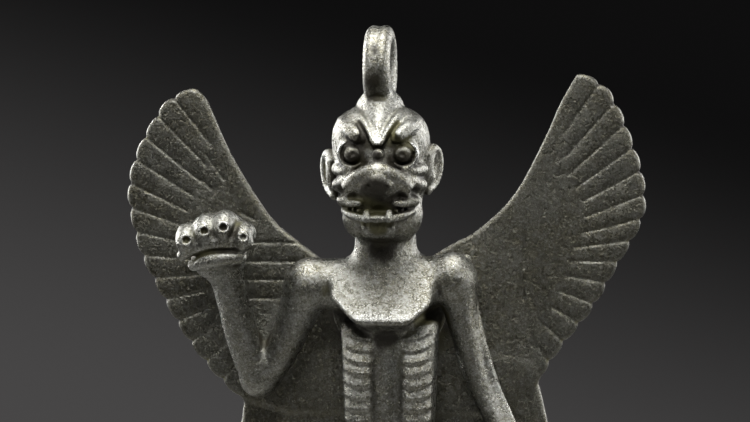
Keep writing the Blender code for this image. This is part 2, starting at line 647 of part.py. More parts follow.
def snout(wax):
    """A short snout: a domed top with an arched edge, a front that leans back, a nose and nostrils."""
    wax.add(Ball(head_at(0.1, -7.6, 124.0), (5.0, 5.7, 3.1)), 0.8)
    wax.add(Ball(head_at(0.1, -6.6, 121.8), (5.2, 5.0, 2.6)), 0.8)
    wax.add(Limb([head_at(0.1, -9.6, 127.4), head_at(0.1, -11.6, 126.4)], (1.7, 1.5)), 1.4)
    arch = [(-5.9, -8.4, 121.8), (-5.0, -9.9, 123.7), (-3.7, -11.3, 125.4), (-2.0, -12.3, 126.3),
            (0, -12.8, 126.5)]
    arch += [(-x, y, z) for x, y, z in arch[-2::-1]]
    wax.add(Limb([head_at(*place) for place in arch], 0.7, 3), 0.7)
    wax.add(Ball(head_at(0.1, -12.9, 125.2), (1.15, 1.3, 1.0)), 0.3)
    for side in BOTH_SIDES:
        wax.add(Ball(head_at(side * 1.8 + 0.1, -12.2, 124.5), (0.95, 1.2, 0.8)), 0.3)


def ear(wax, side):
    """A round ear with a rolled rim and a hollow, the right ear a little lower."""
    drop = 0.0 if side > 0 else -0.9
    wax.add(Ball(head_at(side * 8.0, -0.8, 126.5 + drop), (1.3, 2.5, 3.5), side * 8), 0.8)
    wax.add(Limb([head_at(side * 7.8, -2.8, 128.8 + drop), head_at(side * 8.6, -1.4, 129.8 + drop),
                  head_at(side * 9.2, 0.6, 129.0 + drop), head_at(side * 9.4, 1.2, 126.9 + drop),
                  head_at(side * 8.8, 0.6, 124.4 + drop), head_at(side * 7.7, -1.4, 122.9 + drop)],
                 (0.7, 0.8, 0.85, 0.85, 0.85, 0.8)), 0.35)
    wax.cut(Ball(head_at(side * 9.6, -1.4, 126.8 + drop), (1.1, 1.4, 2.0)), 0.3)


def mouth(wax):
    """A wide grin: full lips, two fangs and a short beard."""
    wax.cut(Ball(head_at(0, -12.2, 120.0), (2.9, 2.6, 1.2)), 0.5)
    for side in BOTH_SIDES:
        wax.add(Limb([head_at(side * 5.8, -7.4, 121.5), head_at(side * 4.6, -9.7, 121.2),
                      head_at(side * 2.9, -11.0, 121.2)], (0.6, 0.8, 0.6)), 0.6)
        wax.cut(Limb([head_at(side * 5.8, -8.4, 120.5), head_at(side * 4.6, -10.6, 120.1),
                      head_at(side * 2.4, -12.2, 119.8)], (0.35, 0.55, 0.55)), 0.4)
        wax.add(Limb([head_at(side * 5.7, -7.6, 119.6), head_at(side * 4.5, -9.8, 118.9),
                      head_at(side * 2.4, -11.3, 118.4), head_at(0, -11.8, 118.3)],
                     (0.6, 0.75, 0.75, 0.75)), 0.5)
        wax.add(Limb([head_at(side * 1.9 + 0.15, -11.4, 119.8), head_at(side * 1.8 + 0.15, -11.8, 118.6)],
                     (0.6, 0.75)), 0.3)
    for lock in range(3):
        x = (lock - 1) * 1.7 + 0.1
        back = abs(x) * 0.25
        wax.add(Limb([head_at(x, back - 10.0, 117.8), head_at(x, back - 10.1, 116.9),
                      head_at(x * 0.95, back - 9.1, 115.9)], (0.85, 0.95, 0.75)), 0.3)


def suspension_ring(wax):
    """A ring of two cords side by side, its hole across the figure, on a foot at the crown."""
    wall, bore = parts(RING_WALL), parts(RING_BORE)
    radius = (bore + wall) / 2
    centre = (RING_X, RING_Y, CROWN + bore / 2 + wall - RING_SUNK)
    cord = parts(RING_WIDTH) / 3.4
    for side in BOTH_SIDES:
        cord_centre = (centre[0] + side * (parts(RING_WIDTH) / 2 - cord), *centre[1:])
        wax.add(Hoop(cord_centre, radius, wall / 2, cord, (1, 0, 0)), 0.45)
    wax.add(Hoop(centre, radius, wall * 0.43, parts(RING_WIDTH) * 0.44, (1, 0, 0)), 0.3)
    wax.add(Ball((RING_X, -0.8, CROWN - 0.2), (3.3, 5.0, 1.7)), 1.4)


def bronze_material():
    material = bpy.data.materials.new("Bronze")
    material.use_nodes = True
    shader = material.node_tree.nodes["Principled BSDF"]
    shader.inputs["Base Color"].default_value = (0.11, 0.11, 0.085, 1)
    shader.inputs["Metallic"].default_value = 0.85
    shader.inputs["Roughness"].default_value = 0.45
    return material


def evaluated_mesh(obj):
    graph = bpy.context.evaluated_depsgraph_get()
    return bpy.data.meshes.new_from_object(obj.evaluated_get(graph))


def voxel_mesh(mesh, collection):
    """The outer surface of overlapping rough forms."""
    obj = bpy.data.objects.new("Rough", mesh)
    collection.objects.link(obj)
    remesh = obj.modifiers.new("Remesh", "REMESH")
    remesh.mode = "VOXEL"
    remesh.voxel_size = parts(VOXEL)
    made = evaluated_mesh(obj)
    bpy.data.objects.remove(obj)
    return made


def swell_head(mesh, back=False):
    """Swells the head and what is near it, or shrinks it back, so that thinning leaves the face more faces."""
    flat = np.empty(len(mesh.vertices) * 3, np.float32)
    mesh.vertices.foreach_get("co", flat)
    centre = np.array(FACE_CENTRE)
    p = flat.reshape(-1, 3) - centre
    out = np.sqrt((p ** 2).sum(1))
    reach = np.arange(0, 3 * CROWN, 0.2)
    swollen = reach * (1 + (HEAD_SWELL - 1) * np.exp(-(reach / HEAD_REACH) ** 2))
    moved = np.interp(out, swollen, reach) if back else np.interp(out, reach, swollen)
    p *= (moved / np.maximum(out, 0.01))[:, None]
    mesh.vertices.foreach_set("co", (p + centre).astype(np.float32).ravel())
    mesh.update()


def flatten_underside(mesh, under, tolerance):
    for vertex in mesh.vertices:
        if vertex.co.z < under + tolerance:
            vertex.co.z = under


def main():
    for obj in list(bpy.data.objects):
        bpy.data.objects.remove(obj)
    collection = bpy.data.collections.new("Pazuzu figure")
    bpy.context.scene.collection.children.link(collection)
    wax = Wax()
    for form in (base, upper_wings, lower_wings, trunk, legs, tail, right_arm, left_arm, head, suspension_ring,
                 rib_waves):
        form(wax)
    mesh = voxel_mesh(wax.rough_mesh("Rough"), collection)
    wax.settle(mesh, 4, 0.5)
    mesh.name = "Figure"
    swell_head(mesh)
    figure = bpy.data.objects.new("pazuzu_figure", mesh)
    collection.objects.link(figure)
    decimate = figure.modifiers.new("Decimate", "DECIMATE")
    decimate.ratio = TRIANGLES / (2 * len(mesh.vertices))
    under = SOLES - parts(BASE_THICKNESS)
    figure.data = evaluated_mesh(figure)
    figure.modifiers.clear()
    swell_head(figure.data, back=True)
    flatten_underside(figure.data, under, 0.05)
    figure.data.transform(Matrix.Scale(SHARE, 4) @ Matrix.Translation((0, 0, -under)))
    figure.data.materials.append(bronze_material())
    figure.data.shade_smooth()
    figure.data.set_sharp_from_angle(angle=math.radians(50))


main()
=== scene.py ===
"""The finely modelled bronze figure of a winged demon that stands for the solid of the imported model.

The figure's forms are laid out on a figure 131 parts tall from the soles to the crown, and one part
is SHARE metres. Each form is a distance to its surface. The forms are blended into one another in
the order in which they are added, as a modeller adds wax, and the mesh is the surface where the
blended distance is nought.
"""
import math

import bpy
import numpy as np
from mathutils import Matrix, Vector

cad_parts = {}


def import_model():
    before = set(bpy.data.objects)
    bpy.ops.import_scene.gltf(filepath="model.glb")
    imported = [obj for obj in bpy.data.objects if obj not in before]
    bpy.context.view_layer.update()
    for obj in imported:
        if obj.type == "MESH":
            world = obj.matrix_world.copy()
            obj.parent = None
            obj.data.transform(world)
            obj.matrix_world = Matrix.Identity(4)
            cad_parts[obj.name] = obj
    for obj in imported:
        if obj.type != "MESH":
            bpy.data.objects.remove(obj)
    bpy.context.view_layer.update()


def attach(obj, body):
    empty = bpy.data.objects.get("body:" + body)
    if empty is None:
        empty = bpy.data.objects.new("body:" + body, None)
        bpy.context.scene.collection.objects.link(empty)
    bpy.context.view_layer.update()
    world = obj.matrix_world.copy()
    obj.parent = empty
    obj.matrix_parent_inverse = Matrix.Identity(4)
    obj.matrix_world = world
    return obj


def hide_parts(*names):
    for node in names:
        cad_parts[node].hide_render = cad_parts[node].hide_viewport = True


# Sizes in metres.
BODY_HEIGHT = 0.131
BASE_THICKNESS = 0.006
BASE_MARGIN = 0.0048
BASE_ROUNDING = 0.0006
RING_BORE = 0.0068
RING_WALL = 0.0034
RING_WIDTH = 0.0045
WING_THICKNESS = 0.0019
LOWER_WING_THICKNESS = 0.0018
RIB_PITCH = 0.00198
GRID_STEP = 0.00027
FIGURE_TRIANGLES = 190000

# The figure's own measure: heights count from the underside of a base six parts thick.
BODY_PARTS = 131.0
SOLES = 6.0
CROWN = SOLES + BODY_PARTS
SHARE = BODY_HEIGHT / BODY_PARTS
BOTH_SIDES = (-1, 1)

# Places that several forms share, in parts.
HEAD_X = -0.45
HEAD_TURN = 0.06
RING_X = -0.6
RING_Y = -0.6
RING_SUNK = 0.6
FOOT_X = 6.5
FOOT_Y = -2.2
HEEL_Y = 8.0
TOE_REACH = 12.0
TOE_SPREAD = math.radians(28)
TAIL_BACK = 19.5
RIGHT_PAW = (-27.6, -2.6, 114.5)
LEFT_PAW = (24.0, -3.4, 70.0)
RIGHT_RIBS_X = -3.7
LEFT_RIBS_X = 6.1
RIBS_HALF = 2.6
RIB_DEPTH = 0.28
QUILL_WIDTH = 0.2
QUILL_DEPTH = 0.2
UPPER_FEATHERS = 15
UPPER_BULGE = 0.62
LOWER_FEATHERS = 9
LOWER_BULGE = 0.55
TIP_STEPS = 7
TIP_FULLNESS = 0.6
ALONG_EDGE = 0.004
WING_BLEND = 1.2
WING_ROUNDING = 0.9

# How the surface is found, in parts: a distance beyond any form, how far round its own box a form is
# felt, the step over which a slope is measured, the room round the forms and the thinnest bar.
FAR = 50.0
REACH = 3.0
PROBE = 0.02
GRID_MARGIN = 2
THINNEST = 0.05
LEAST_SLOPE = 0.05
NOT_NOUGHT = 1e-6

# The grid is first read once in each block of its points. A block is read point by point where the surface
# is nearer than a share of the block's side and a little more.
BLOCK_SIDE = 4
NEAR_SHARE = 0.9
NEAR_SPARE = 0.15
BLOCKS_AT_ONCE = 4000

# How the mesh is settled: the rounds, the furthest step in parts and the share of the evening pull.
SETTLE_ROUNDS = 2
SETTLE_MOST = 0.2
SETTLE_PULL = 0.4

# How far off the surface a hidden or a worn place is looked for, in parts, and what each distance counts.
HIDDEN_REACHES = ((0.5, 0.3), (1.1, 0.3), (2.4, 0.4))
WORN_REACHES = ((0.35, 0.5), (0.8, 0.5))
WEAR_GAIN = 1.6
WEAR_KEPT = 0.4
# How dark the dark places are painted: shade with some dirt.
DARK_PLACE_DIRT_AND_SHADE = 0.7

# The view and the studio, in metres and degrees, with the lens and its sensor in millimetres.
LENS = 250.0
SENSOR = 36.0
FRAME_WIDTH = 0.1236
FRAME_CENTRE = (-0.0015, 0.0, 0.1194)
CAMERA_TURN = 7.0
CAMERA_RISE = 2.5
LOOKED_AT = (0.0, 0.0, 0.11)
BACKDROP_LOW = -0.142
BACKDROP_HIGH = -0.041
BACKDROP_SLANT = 0.3
BACKDROP_PALE = (0.064, 0.062, 0.062)
BACKDROP_DARK = (0.0046, 0.0045, 0.0046)
FLOOR_SIDE = 1.4
FLOOR_BEHIND = 0.45

# Each light's place, width and height in metres, its power in watts and its spread in degrees.
LIGHTS = {"key": ((0.0, -0.03, 0.30), 0.16, 0.18, 0.33, 80.0),
          "front": ((0.02, -0.40, 0.42), 0.20, 0.14, 0.11, 50.0),
          "left_rim": ((-0.30, 0.26, 0.20), 0.10, 0.25, 0.24, 60.0),
          "right_rim": ((0.26, 0.34, 0.20), 0.14, 0.25, 0.15, 60.0),
          "left_side": ((-0.38, 0.0, 0.20), 0.08, 0.28, 0.14, 60.0),
          "right_side": ((0.38, 0.0, 0.20), 0.08, 0.28, 0.15, 60.0)}

# The colours of the bronze, from its dirt and painted shade to its worn edges, and of the floor.
DIRT_AND_SHADE_BROWN = (0.016, 0.013, 0.007)
DIRT_AND_SHADE_OLIVE = (0.064, 0.059, 0.024)
# Painted shade for the wings behind the body.
WING_SHADE_COLOUR = (0.032, 0.029, 0.017)
GRAIN_DARK = (0.046, 0.042, 0.026)
METAL_BROWN = (0.118, 0.112, 0.084)
METAL_GREY = (0.148, 0.147, 0.126)
BLOOM_GREY = (0.215, 0.215, 0.198)
GRAIN_BRIGHT = (0.380, 0.382, 0.370)
WORN_BRIGHT = (0.47, 0.472, 0.46)
FLOOR_DULL = (0.38, 0.375, 0.36)
FLOOR_PALE = (0.42, 0.415, 0.40)

# The noises' scales per metre, and the depths in metres of the relief that they give.
BLOTCH_SCALE = 90.0
DENT_SCALE = 800.0
MOTTLE_SCALE = 900.0
GRAIN_SCALE = 3200.0
FLOOR_SCALE = 9.0
DENT_DEPTH = 0.00018
PIT_DEPTH = 0.00007
GRAIN_DEPTH = 0.00014

# Painted shade on the wings, which lie behind the body: from where to where in Y the colour darkens, and
# how much.
WING_SHADE_FROM = 0.0040
WING_SHADE_TO = 0.0065
WING_SHADE_SHARE = 0.57

# Dark places on the front, each with its radius, in parts, painted as shade with some dark dirt: the snout,
# the eyes, between and under the brows, the beard, the throat, under the chest and the front of the ring.
DARK_PLACES = (((-0.2, -12.8, 123.2), 3.2), ((-0.1, -11.4, 121.0), 2.4), ((-4.0, -10.5, 128.6), 1.4),
               ((4.6, -10.5, 128.6), 1.4), ((0.3, -11.9, 129.0), 1.0), ((-2.2, -10.2, 131.0), 1.5),
               ((3.0, -10.2, 131.0), 1.5), ((0.3, -10.8, 117.0), 1.9), ((0.4, -5.4, 113.8), 3.4),
               ((1.0, -6.0, 98.6), 2.6), ((-0.9, -5.6, 141.3), 2.4), ((-0.9, -5.2, 145.6), 1.9))


def parts(metres):
    """A size in metres as parts of the figure."""
    return metres / SHARE


def smooth_min(a, b, blend):
    overlap = np.maximum(blend - np.abs(a - b), 0.0) / blend
    return np.minimum(a, b) - overlap * overlap * blend / 4


def smooth_max(a, b, blend):
    return -smooth_min(-a, -b, blend)


def curve_through(points, steps):
    """A smooth line through the points, with so many steps between two of them."""
    p = np.array(points, float)
    p = np.vstack([2 * p[0] - p[1], p, 2 * p[-1] - p[-2]])
    line = []
    for before, start, end, after in zip(p[:-3], p[1:-2], p[2:-1], p[3:]):
        for t in np.arange(steps) / steps:
            line.append(0.5 * (2 * start + (end - before) * t
                               + (2 * before - 5 * start + 4 * end - after) * t ** 2
                               + (3 * start - before - 3 * end + after) * t ** 3))
    line.append(p[-2])
    return np.array(line)


def corner_places(mesh):
    flat = np.empty(len(mesh.vertices) * 3, np.float32)
    mesh.vertices.foreach_get("co", flat)
    return flat.reshape(-1, 3).astype(float)


def edge_ends(mesh):
    """The two corners of each edge, and how many edges meet at each corner."""
    ends = np.empty(len(mesh.edges) * 2, np.int32)
    mesh.edges.foreach_get("vertices", ends)
    return ends[0::2], ends[1::2], np.bincount(ends, minlength=len(mesh.vertices))


class Ball:
    """An ellipsoid with its half sizes, leaned about Y."""

    def __init__(self, centre, radii, lean=0.0):
        self.centre = np.array(centre, float)
        self.radii = np.array(radii, float)
        self.axes = np.array(Matrix.Rotation(math.radians(lean), 3, "Y"))
        reach = np.sqrt(((self.axes * self.radii) ** 2).sum(1))
        self.low, self.high = self.centre - reach, self.centre + reach

    def distance(self, p):
        q = (p - self.centre) @ self.axes
        near = np.sqrt(((q / self.radii) ** 2).sum(1))
        slope = np.sqrt(((q / self.radii ** 2) ** 2).sum(1))
        return near * (near - 1) / np.maximum(slope, NOT_NOUGHT)


class Limb:
    """A round bar along a smooth line, with a radius at each of its points."""

    def __init__(self, points, radii, steps=4):
        line = curve_through(np.column_stack([points, np.ones(len(points)) * radii]), steps)
        self.points, self.radii = line[:, :3], np.maximum(line[:, 3], THINNEST)
        reach = self.radii[:, None]
        self.low, self.high = (self.points - reach).min(0), (self.points + reach).max(0)

    def distance(self, p):
        best = np.full(len(p), FAR)
        for a, b, start, end in zip(self.points[:-1], self.points[1:], self.radii[:-1], self.radii[1:]):
            best = np.minimum(best, self.cone_distance(p - a, b - a, start, end))
        return best

    @staticmethod
    def cone_distance(q, along, start, end):
        """Distance to a cone with round ends, from a point given from the first end."""
        length = np.sqrt(along @ along)
        up = (q @ along) / length
        out = np.sqrt(np.maximum((q ** 2).sum(1) - up * up, 0))
        lean = (start - end) / length
        if abs(lean) >= 1:
            end_ball = np.sqrt(out * out + (up - length) ** 2) - end
            return np.minimum(np.sqrt(out * out + up * up) - start, end_ball)
        straight = math.sqrt(1 - lean * lean)
        place = up * straight - out * lean
        side = out * straight + up * lean - start
        first = np.sqrt(out * out + up * up) - start
        last = np.sqrt(out * out + (up - length) ** 2) - end
        return np.where(place < 0, first, np.where(place > length * straight, last, side))


class Hoop:
    """A ring about an axis: the radius of its middle line and its section's half sizes."""

    def __init__(self, centre, radius, half_wall, half_width, axis):
        self.centre = np.array(centre, float)
        self.radius, self.half_wall, self.half_width = radius, half_wall, half_width
        self.axis = np.array(axis, float) / np.linalg.norm(axis)
        reach = radius + max(half_wall, half_width)
        self.low, self.high = self.centre - reach, self.centre + reach

    def distance(self, p):
        q = p - self.centre
        along = q @ self.axis
        out = np.sqrt(np.maximum((q ** 2).sum(1) - along ** 2, 0)) - self.radius
        u, v = out / self.half_wall, along / self.half_width
        near = np.sqrt(u * u + v * v)
        slope = np.sqrt((u / self.half_wall) ** 2 + (v / self.half_width) ** 2)
        return near * (near - 1) / np.maximum(slope, NOT_NOUGHT)


class Block:
    """A block bounded by planes, each given by a point on it and its outward direction, and its own box."""

    def __init__(self, planes, rounding, low, high):
        self.planes = [(np.array(at, float), np.array(out, float) / np.linalg.norm(out))
                       for at, out in planes]
        self.rounding = rounding
        self.low, self.high = np.array(low, float), np.array(high, float)

    def distance(self, p):
        worst = None
        for at, out in self.planes:
            d = (p - at) @ out
            worst = d if worst is None else smooth_max(worst, d, self.rounding)
        return worst


class Plate:
    """An upright plate: an outline in X and Z, a thickness, and lines cut into both its faces."""

    GRID = 0.12
    PAD = 3.0

    def __init__(self, outline, middle, thickness, lines):
        self.outline = np.array(outline, float)
        self.middle, self.half = middle, thickness / 2
        self.start = self.outline.min(0) - self.PAD
        stop = self.outline.max(0) + self.PAD
        count = np.ceil((stop - self.start) / self.GRID).astype(int) + 1
        axes = [self.start[k] + np.arange(count[k]) * self.GRID for k in range(2)]
        grid = np.stack(np.meshgrid(*axes, indexing="ij"), -1).reshape(-1, 2)
        self.edge = self.edge_distance(grid).reshape(count)
        self.depth = self.line_depth(grid, lines).reshape(count)
        y = [middle(x) for x, z in self.outline]
        self.low = np.array([self.start[0] + 2, min(y) - self.half - 1, self.start[1] + 2])
        self.high = np.array([stop[0] - 2, max(y) + self.half + 1, stop[1] - 2])

    def edge_distance(self, grid):
        nearest = np.full(len(grid), FAR * FAR)
        inside = np.zeros(len(grid), bool)
        for a, b in zip(self.outline, np.roll(self.outline, -1, axis=0)):
            along = b - a
            t = np.clip(((grid - a) @ along) / (along @ along), 0, 1)
            nearest = np.minimum(nearest, ((grid - a - t[:, None] * along) ** 2).sum(1))
            if a[1] != b[1]:
                beyond = grid[:, 0] < a[0] + (grid[:, 1] - a[1]) * along[0] / along[1]
                inside ^= ((a[1] > grid[:, 1]) != (b[1] > grid[:, 1])) & beyond
        return np.where(inside, -1, 1) * np.sqrt(nearest)

    @staticmethod
    def line_depth(grid, lines):
        depth = np.zeros(len(grid))
        for a, b, width, deep in lines:
            along = b - a
            t = np.clip(((grid - a) @ along) / (along @ along), 0, 1)
            gap = ((grid - a - t[:, None] * along) ** 2).sum(1)
            depth = np.maximum(depth, deep * np.exp(-gap / width ** 2))
        return depth

    def read(self, table, p):
        """The table's value at each point, between its four nearest entries."""
        u, v = (p[:, 0] - self.start[0]) / self.GRID, (p[:, 2] - self.start[1]) / self.GRID
        i = np.clip(u.astype(int), 0, table.shape[0] - 2)
        j = np.clip(v.astype(int), 0, table.shape[1] - 2)
        s, t = np.clip(u - i, 0, 1), np.clip(v - j, 0, 1)
        return ((table[i, j] * (1 - s) + table[i + 1, j] * s) * (1 - t)
                + (table[i, j + 1] * (1 - s) + table[i + 1, j + 1] * s) * t)

    def distance(self, p):
        face = np.abs(p[:, 1] - self.middle(p[:, 0])) - self.half + self.read(self.depth, p)
        return smooth_max(self.read(self.edge, p), face, WING_ROUNDING)


class Waves:
    """A height raised on the surface that is there already, and the box in which it counts."""

    def __init__(self, height, low, high):
        self.distance, self.low, self.high = height, np.array(low, float), np.array(high, float)


class Wax:
    """The forms, in the order in which they are blended."""

    def __init__(self):
        self.steps = []

    def add(self, form, blend):
        self.steps.append(("add", form, blend))

    def cut(self, form, blend):
        self.steps.append(("cut", form, blend))

    def raised(self, waves):
        self.steps.append(("raise", waves, 0.0))

    def distance(self, points):
        """Distance of each point to the blended surface, below zero inside it."""
        order = np.argsort(points[:, 2], kind="stable")
        p = points[order]
        d = np.full(len(p), FAR)
        for kind, form, blend in self.steps:
            first, last = np.searchsorted(p[:, 2], (form.low[2] - REACH, form.high[2] + REACH))
            block = p[first:last]
            near = ((block[:, :2] > form.low[:2] - REACH) & (block[:, :2] < form.high[:2] + REACH)).all(1)
            at = first + np.nonzero(near)[0]
            if not len(at):
                continue
            f = form.distance(p[at])
            if kind == "add":
                d[at] = smooth_min(d[at], f, blend)
            elif kind == "cut":
                d[at] = smooth_max(d[at], -f, blend)
            else:
                d[at] -= f
        out = np.empty_like(d)
        out[order] = d
        return out

    def slope(self, p):
        """Distance and its gradient."""
        probes = np.concatenate([p] + [p + PROBE * step for step in np.eye(3)])
        f = self.distance(probes).reshape(4, -1)
        return f[0], (f[1:] - f[0]).T / PROBE

    def sampled(self, step):
        """Distances on a grid, exact near the surface: the grid's first corner and its table."""
        added = [form for kind, form, blend in self.steps if kind == "add"]
        low = np.min([form.low for form in added], axis=0) - GRID_MARGIN
        high = np.max([form.high for form in added], axis=0) + GRID_MARGIN
        count = np.ceil((high - low) / (BLOCK_SIDE * step)).astype(int)
        half_block = (BLOCK_SIDE - 1) / 2
        middles = [low[k] + step * (BLOCK_SIDE * np.arange(count[k]) + half_block) for k in range(3)]
        points = np.stack(np.meshgrid(*middles, indexing="ij"), -1).reshape(-1, 3)
        coarse = self.distance(points).reshape(count)
        table = coarse.astype(np.float32)
        for axis in range(3):
            table = np.repeat(table, BLOCK_SIDE, axis)
        near = np.argwhere(np.abs(coarse) < BLOCK_SIDE * step * NEAR_SHARE + NEAR_SPARE) * BLOCK_SIDE
        steps = np.arange(BLOCK_SIDE)
        inner = np.stack(np.meshgrid(steps, steps, steps, indexing="ij"), -1).reshape(-1, 3)
        for some in np.array_split(near, 1 + len(near) // BLOCKS_AT_ONCE):
            cells = (some[:, None] + inner).reshape(-1, 3)
            table[tuple(cells.T)] = self.distance(low + step * cells)
        return low, table

    def surface(self, name, step):
        """The blended surface as a mesh of quads, with a corner in each cell that the surface crosses."""
        low, table = self.sampled(step)
        strides = np.array([table.shape[1] * table.shape[2], table.shape[2], 1])
        cells, places = [], []
        for axis in range(3):
            ahead = np.moveaxis(table, axis, 0)
            crossed = np.argwhere((ahead[:-1] < 0) != (ahead[1:] < 0))
            order = [1 + k if k < axis else k for k in range(3)]
            order[axis] = 0
            crossed = crossed[:, order]
            start = table[tuple(crossed.T)]
            end = table[tuple((crossed + np.eye(3, dtype=int)[axis]).T)]
            place = crossed.astype(float)
            place[:, axis] += start / (start - end)
            across, up = np.eye(3, dtype=int)[[(axis + 1) % 3, (axis + 2) % 3]]
            quad = np.stack([crossed - across - up, crossed - up, crossed, crossed - across], 1) @ strides
            quad[start >= 0] = quad[start >= 0, ::-1]
            cells.append(quad)
            places.append(place)
        cells, places = np.concatenate(cells), np.concatenate(places)
        corner_of = np.unique(cells, return_inverse=True)[1].ravel()
        touching = np.bincount(corner_of)
        corners = np.stack([np.bincount(corner_of, np.repeat(places[:, k], 4)) / touching
                            for k in range(3)], 1)
        mesh = bpy.data.meshes.new(name)
        mesh.from_pydata(low + step * corners, [], corner_of.reshape(-1, 4))
        return mesh

    def settle(self, mesh):
        """Moves the mesh onto the blended surface, and evens its corners along it."""
        p = corner_places(mesh)
        count = len(p)
        a, b, links = edge_ends(mesh)
        for turn in range(SETTLE_ROUNDS):
            d, gradient = self.slope(p)
            size = np.sqrt(np.maximum((gradient ** 2).sum(1), LEAST_SLOPE))[:, None]
            p -= np.clip(d[:, None] / size, -SETTLE_MOST, SETTLE_MOST) * gradient / size
            if turn < SETTLE_ROUNDS - 1:
                total = np.stack([np.bincount(a, p[b, k], count) + np.bincount(b, p[a, k], count)
                                  for k in range(3)], 1)
                pull = total / links[:, None] - p
                normal = gradient / size
                pull -= (pull * normal).sum(1)[:, None] * normal
                p += SETTLE_PULL * pull
        mesh.vertices.foreach_set("co", p.astype(np.float32).ravel())
        mesh.update()


def base(wax):
    """The low block that the feet stand on, as wide and deep as they need."""
    margin, thickness = parts(BASE_MARGIN), parts(BASE_THICKNESS)
    side = FOOT_X + TOE_REACH * math.sin(TOE_SPREAD) + margin
    front = FOOT_Y - TOE_REACH - margin
    back = TAIL_BACK
    under = SOLES - thickness
    faces = [((0, front, 0), (0, -1, 0)), ((0, back, 0), (0, 1, 0)), ((-side, 0, 0), (-1, 0, 0)),
             ((side, 0, 0), (1, 0, 0)), ((0, 0, SOLES), (0, 0, 1)), ((0, 0, under), (0, 0, -1))]
    wax.add(Block(faces, parts(BASE_ROUNDING), (-side, front, under), (side, back, SOLES)), 1.0)


def feather_tips(edge, feathers, bulge):
    """A wing's edge with a rounded tip to each feather, and the notches between the tips."""
    line = curve_through(edge, 8)
    run = np.concatenate([[0], np.cumsum(np.linalg.norm(np.diff(line, axis=0), axis=1))])

    def on_edge(share):
        return np.array([np.interp(share * run[-1], run, line[:, k]) for k in range(2)])

    points, notches = [], []
    for feather in range(feathers):
        for step in range(TIP_STEPS):
            share = (feather + step / TIP_STEPS) / feathers
            along = on_edge(share + ALONG_EDGE) - on_edge(share - ALONG_EDGE)
            outward = np.array([-along[1], along[0]]) / np.linalg.norm(along)
            swell = math.sin(math.pi * step / TIP_STEPS) ** TIP_FULLNESS
            points.append(on_edge(share) + outward * bulge * swell)
            if step == 0 and feather:
                notches.append(on_edge(share))
    return points + [on_edge(1)], notches


def quill_lines(notches, root, lengths):
    """A cut line from each notch towards the wing's root."""
    lines = []
    for number, notch in enumerate(notches):
        inward = (np.array(root) - notch) / np.linalg.norm(np.array(root) - notch)
        share = number / (len(notches) - 1) * (len(lengths) - 1)
        lines.append((notch, notch + inward * np.interp(share, range(len(lengths)), lengths)))
    return lines


def wing(wax, side, outline, lines, middle, thickness):
    """A wing whose outline and lines are given for the left side, and turned over for the right."""
    turned = [(np.array(a) * (side, 1), np.array(b) * (side, 1), QUILL_WIDTH, QUILL_DEPTH)
              for a, b in lines]
    wax.add(Plate(np.array(outline) * (side, 1), middle, parts(thickness), turned), WING_BLEND)


def upper_wings(wax):
    """The raised wings, each with its own outline, the left one a little higher."""
    def middle(x):
        return 8.3 + 0.045 * np.abs(x)

    leading = {-1: [(9, 108.5), (12.5, 111.7), (15.5, 113.9), (20.1, 117.9), (25.1, 125.3), (28.1, 130.9),
                    (30.9, 137.2), (32.6, 139.2)],
               1: [(6, 111), (10.5, 113.7), (14.8, 116.1), (20.8, 122), (25.7, 131.1), (28.3, 137.0),
                   (31.0, 141.8)]}
    edges = {-1: [(32.6, 139.2), (37.1, 137.2), (40.2, 133), (42.4, 128.7), (43.7, 124.3), (43.8, 119.9),
                  (41.9, 112.1), (38.2, 104.7), (34.2, 98.0), (29.6, 92.2), (25.2, 88.0)],
             1: [(31.0, 141.8), (35.3, 139.6), (38.0, 135.0), (39.9, 130.1), (41.3, 125.9), (41.9, 121.5),
                 (41.2, 117.3), (37.2, 110.0), (33.0, 102.9), (28.2, 96.9), (24.2, 91.0)]}
    roots = {-1: (13.8, 109.3), 1: (14.2, 111.0)}
    marks = {-1: [((25.1, 113.7), (15.1, 113.6)), ((25.4, 110.5), (15.0, 110.5)),
                  ((25.1, 107.4), (15.1, 107.5)), ((25.4, 104.3), (14.8, 104.4)),
                  ((31.0, 128.2), (28.0, 124.1)), ((31.7, 124.1), (30.1, 122.4)),
                  ((25.1, 118.6), (22.9, 117.5))],
             1: [((22.4, 115.0), (22.4, 109.6)), ((22.4, 108.2), (22.3, 104.3))]}
    for side in BOTH_SIDES:
        tips, notches = feather_tips(edges[side], UPPER_FEATHERS, UPPER_BULGE)
        outline = [*curve_through(leading[side], 4)[:-1], *tips, (17, 85.5), (5, 85.5)]
        lines = quill_lines(notches, roots[side], (10, 12.5, 11, 10, 9.5, 7.5, 6, 4.5, 3.5)) + marks[side]
        wing(wax, side, outline, lines, middle, WING_THICKNESS)


def lower_wings(wax):
    """The lower wings, which hang behind the hips and flare outwards."""
    def middle(x):
        return 8.9 + 0.03 * np.abs(x)

    for side, flare in ((-1, -1.1), (1, 0.0)):
        leading = [(7, 95), (21.5, 94.0), (24.4, 91.0), (26.1 + flare, 84.6), (28.5 + flare, 74.0),
                   (31.6, 62), (34.4, 52)]
        trailing = [(34.4, 52), (34.9, 48.6), (32.2, 46.6), (27.4, 48.2), (21, 51.2), (14, 54.4), (7, 57.5)]
        tips, notches = feather_tips(trailing, LOWER_FEATHERS, LOWER_BULGE)
        outline = [*curve_through(leading, 4)[:-1], *tips, (2, 60), (2, 92)]
        lines = quill_lines(notches, (14, 98), (15, 18, 16, 12))
        wing(wax, side, outline, lines, middle, LOWER_WING_THICKNESS)


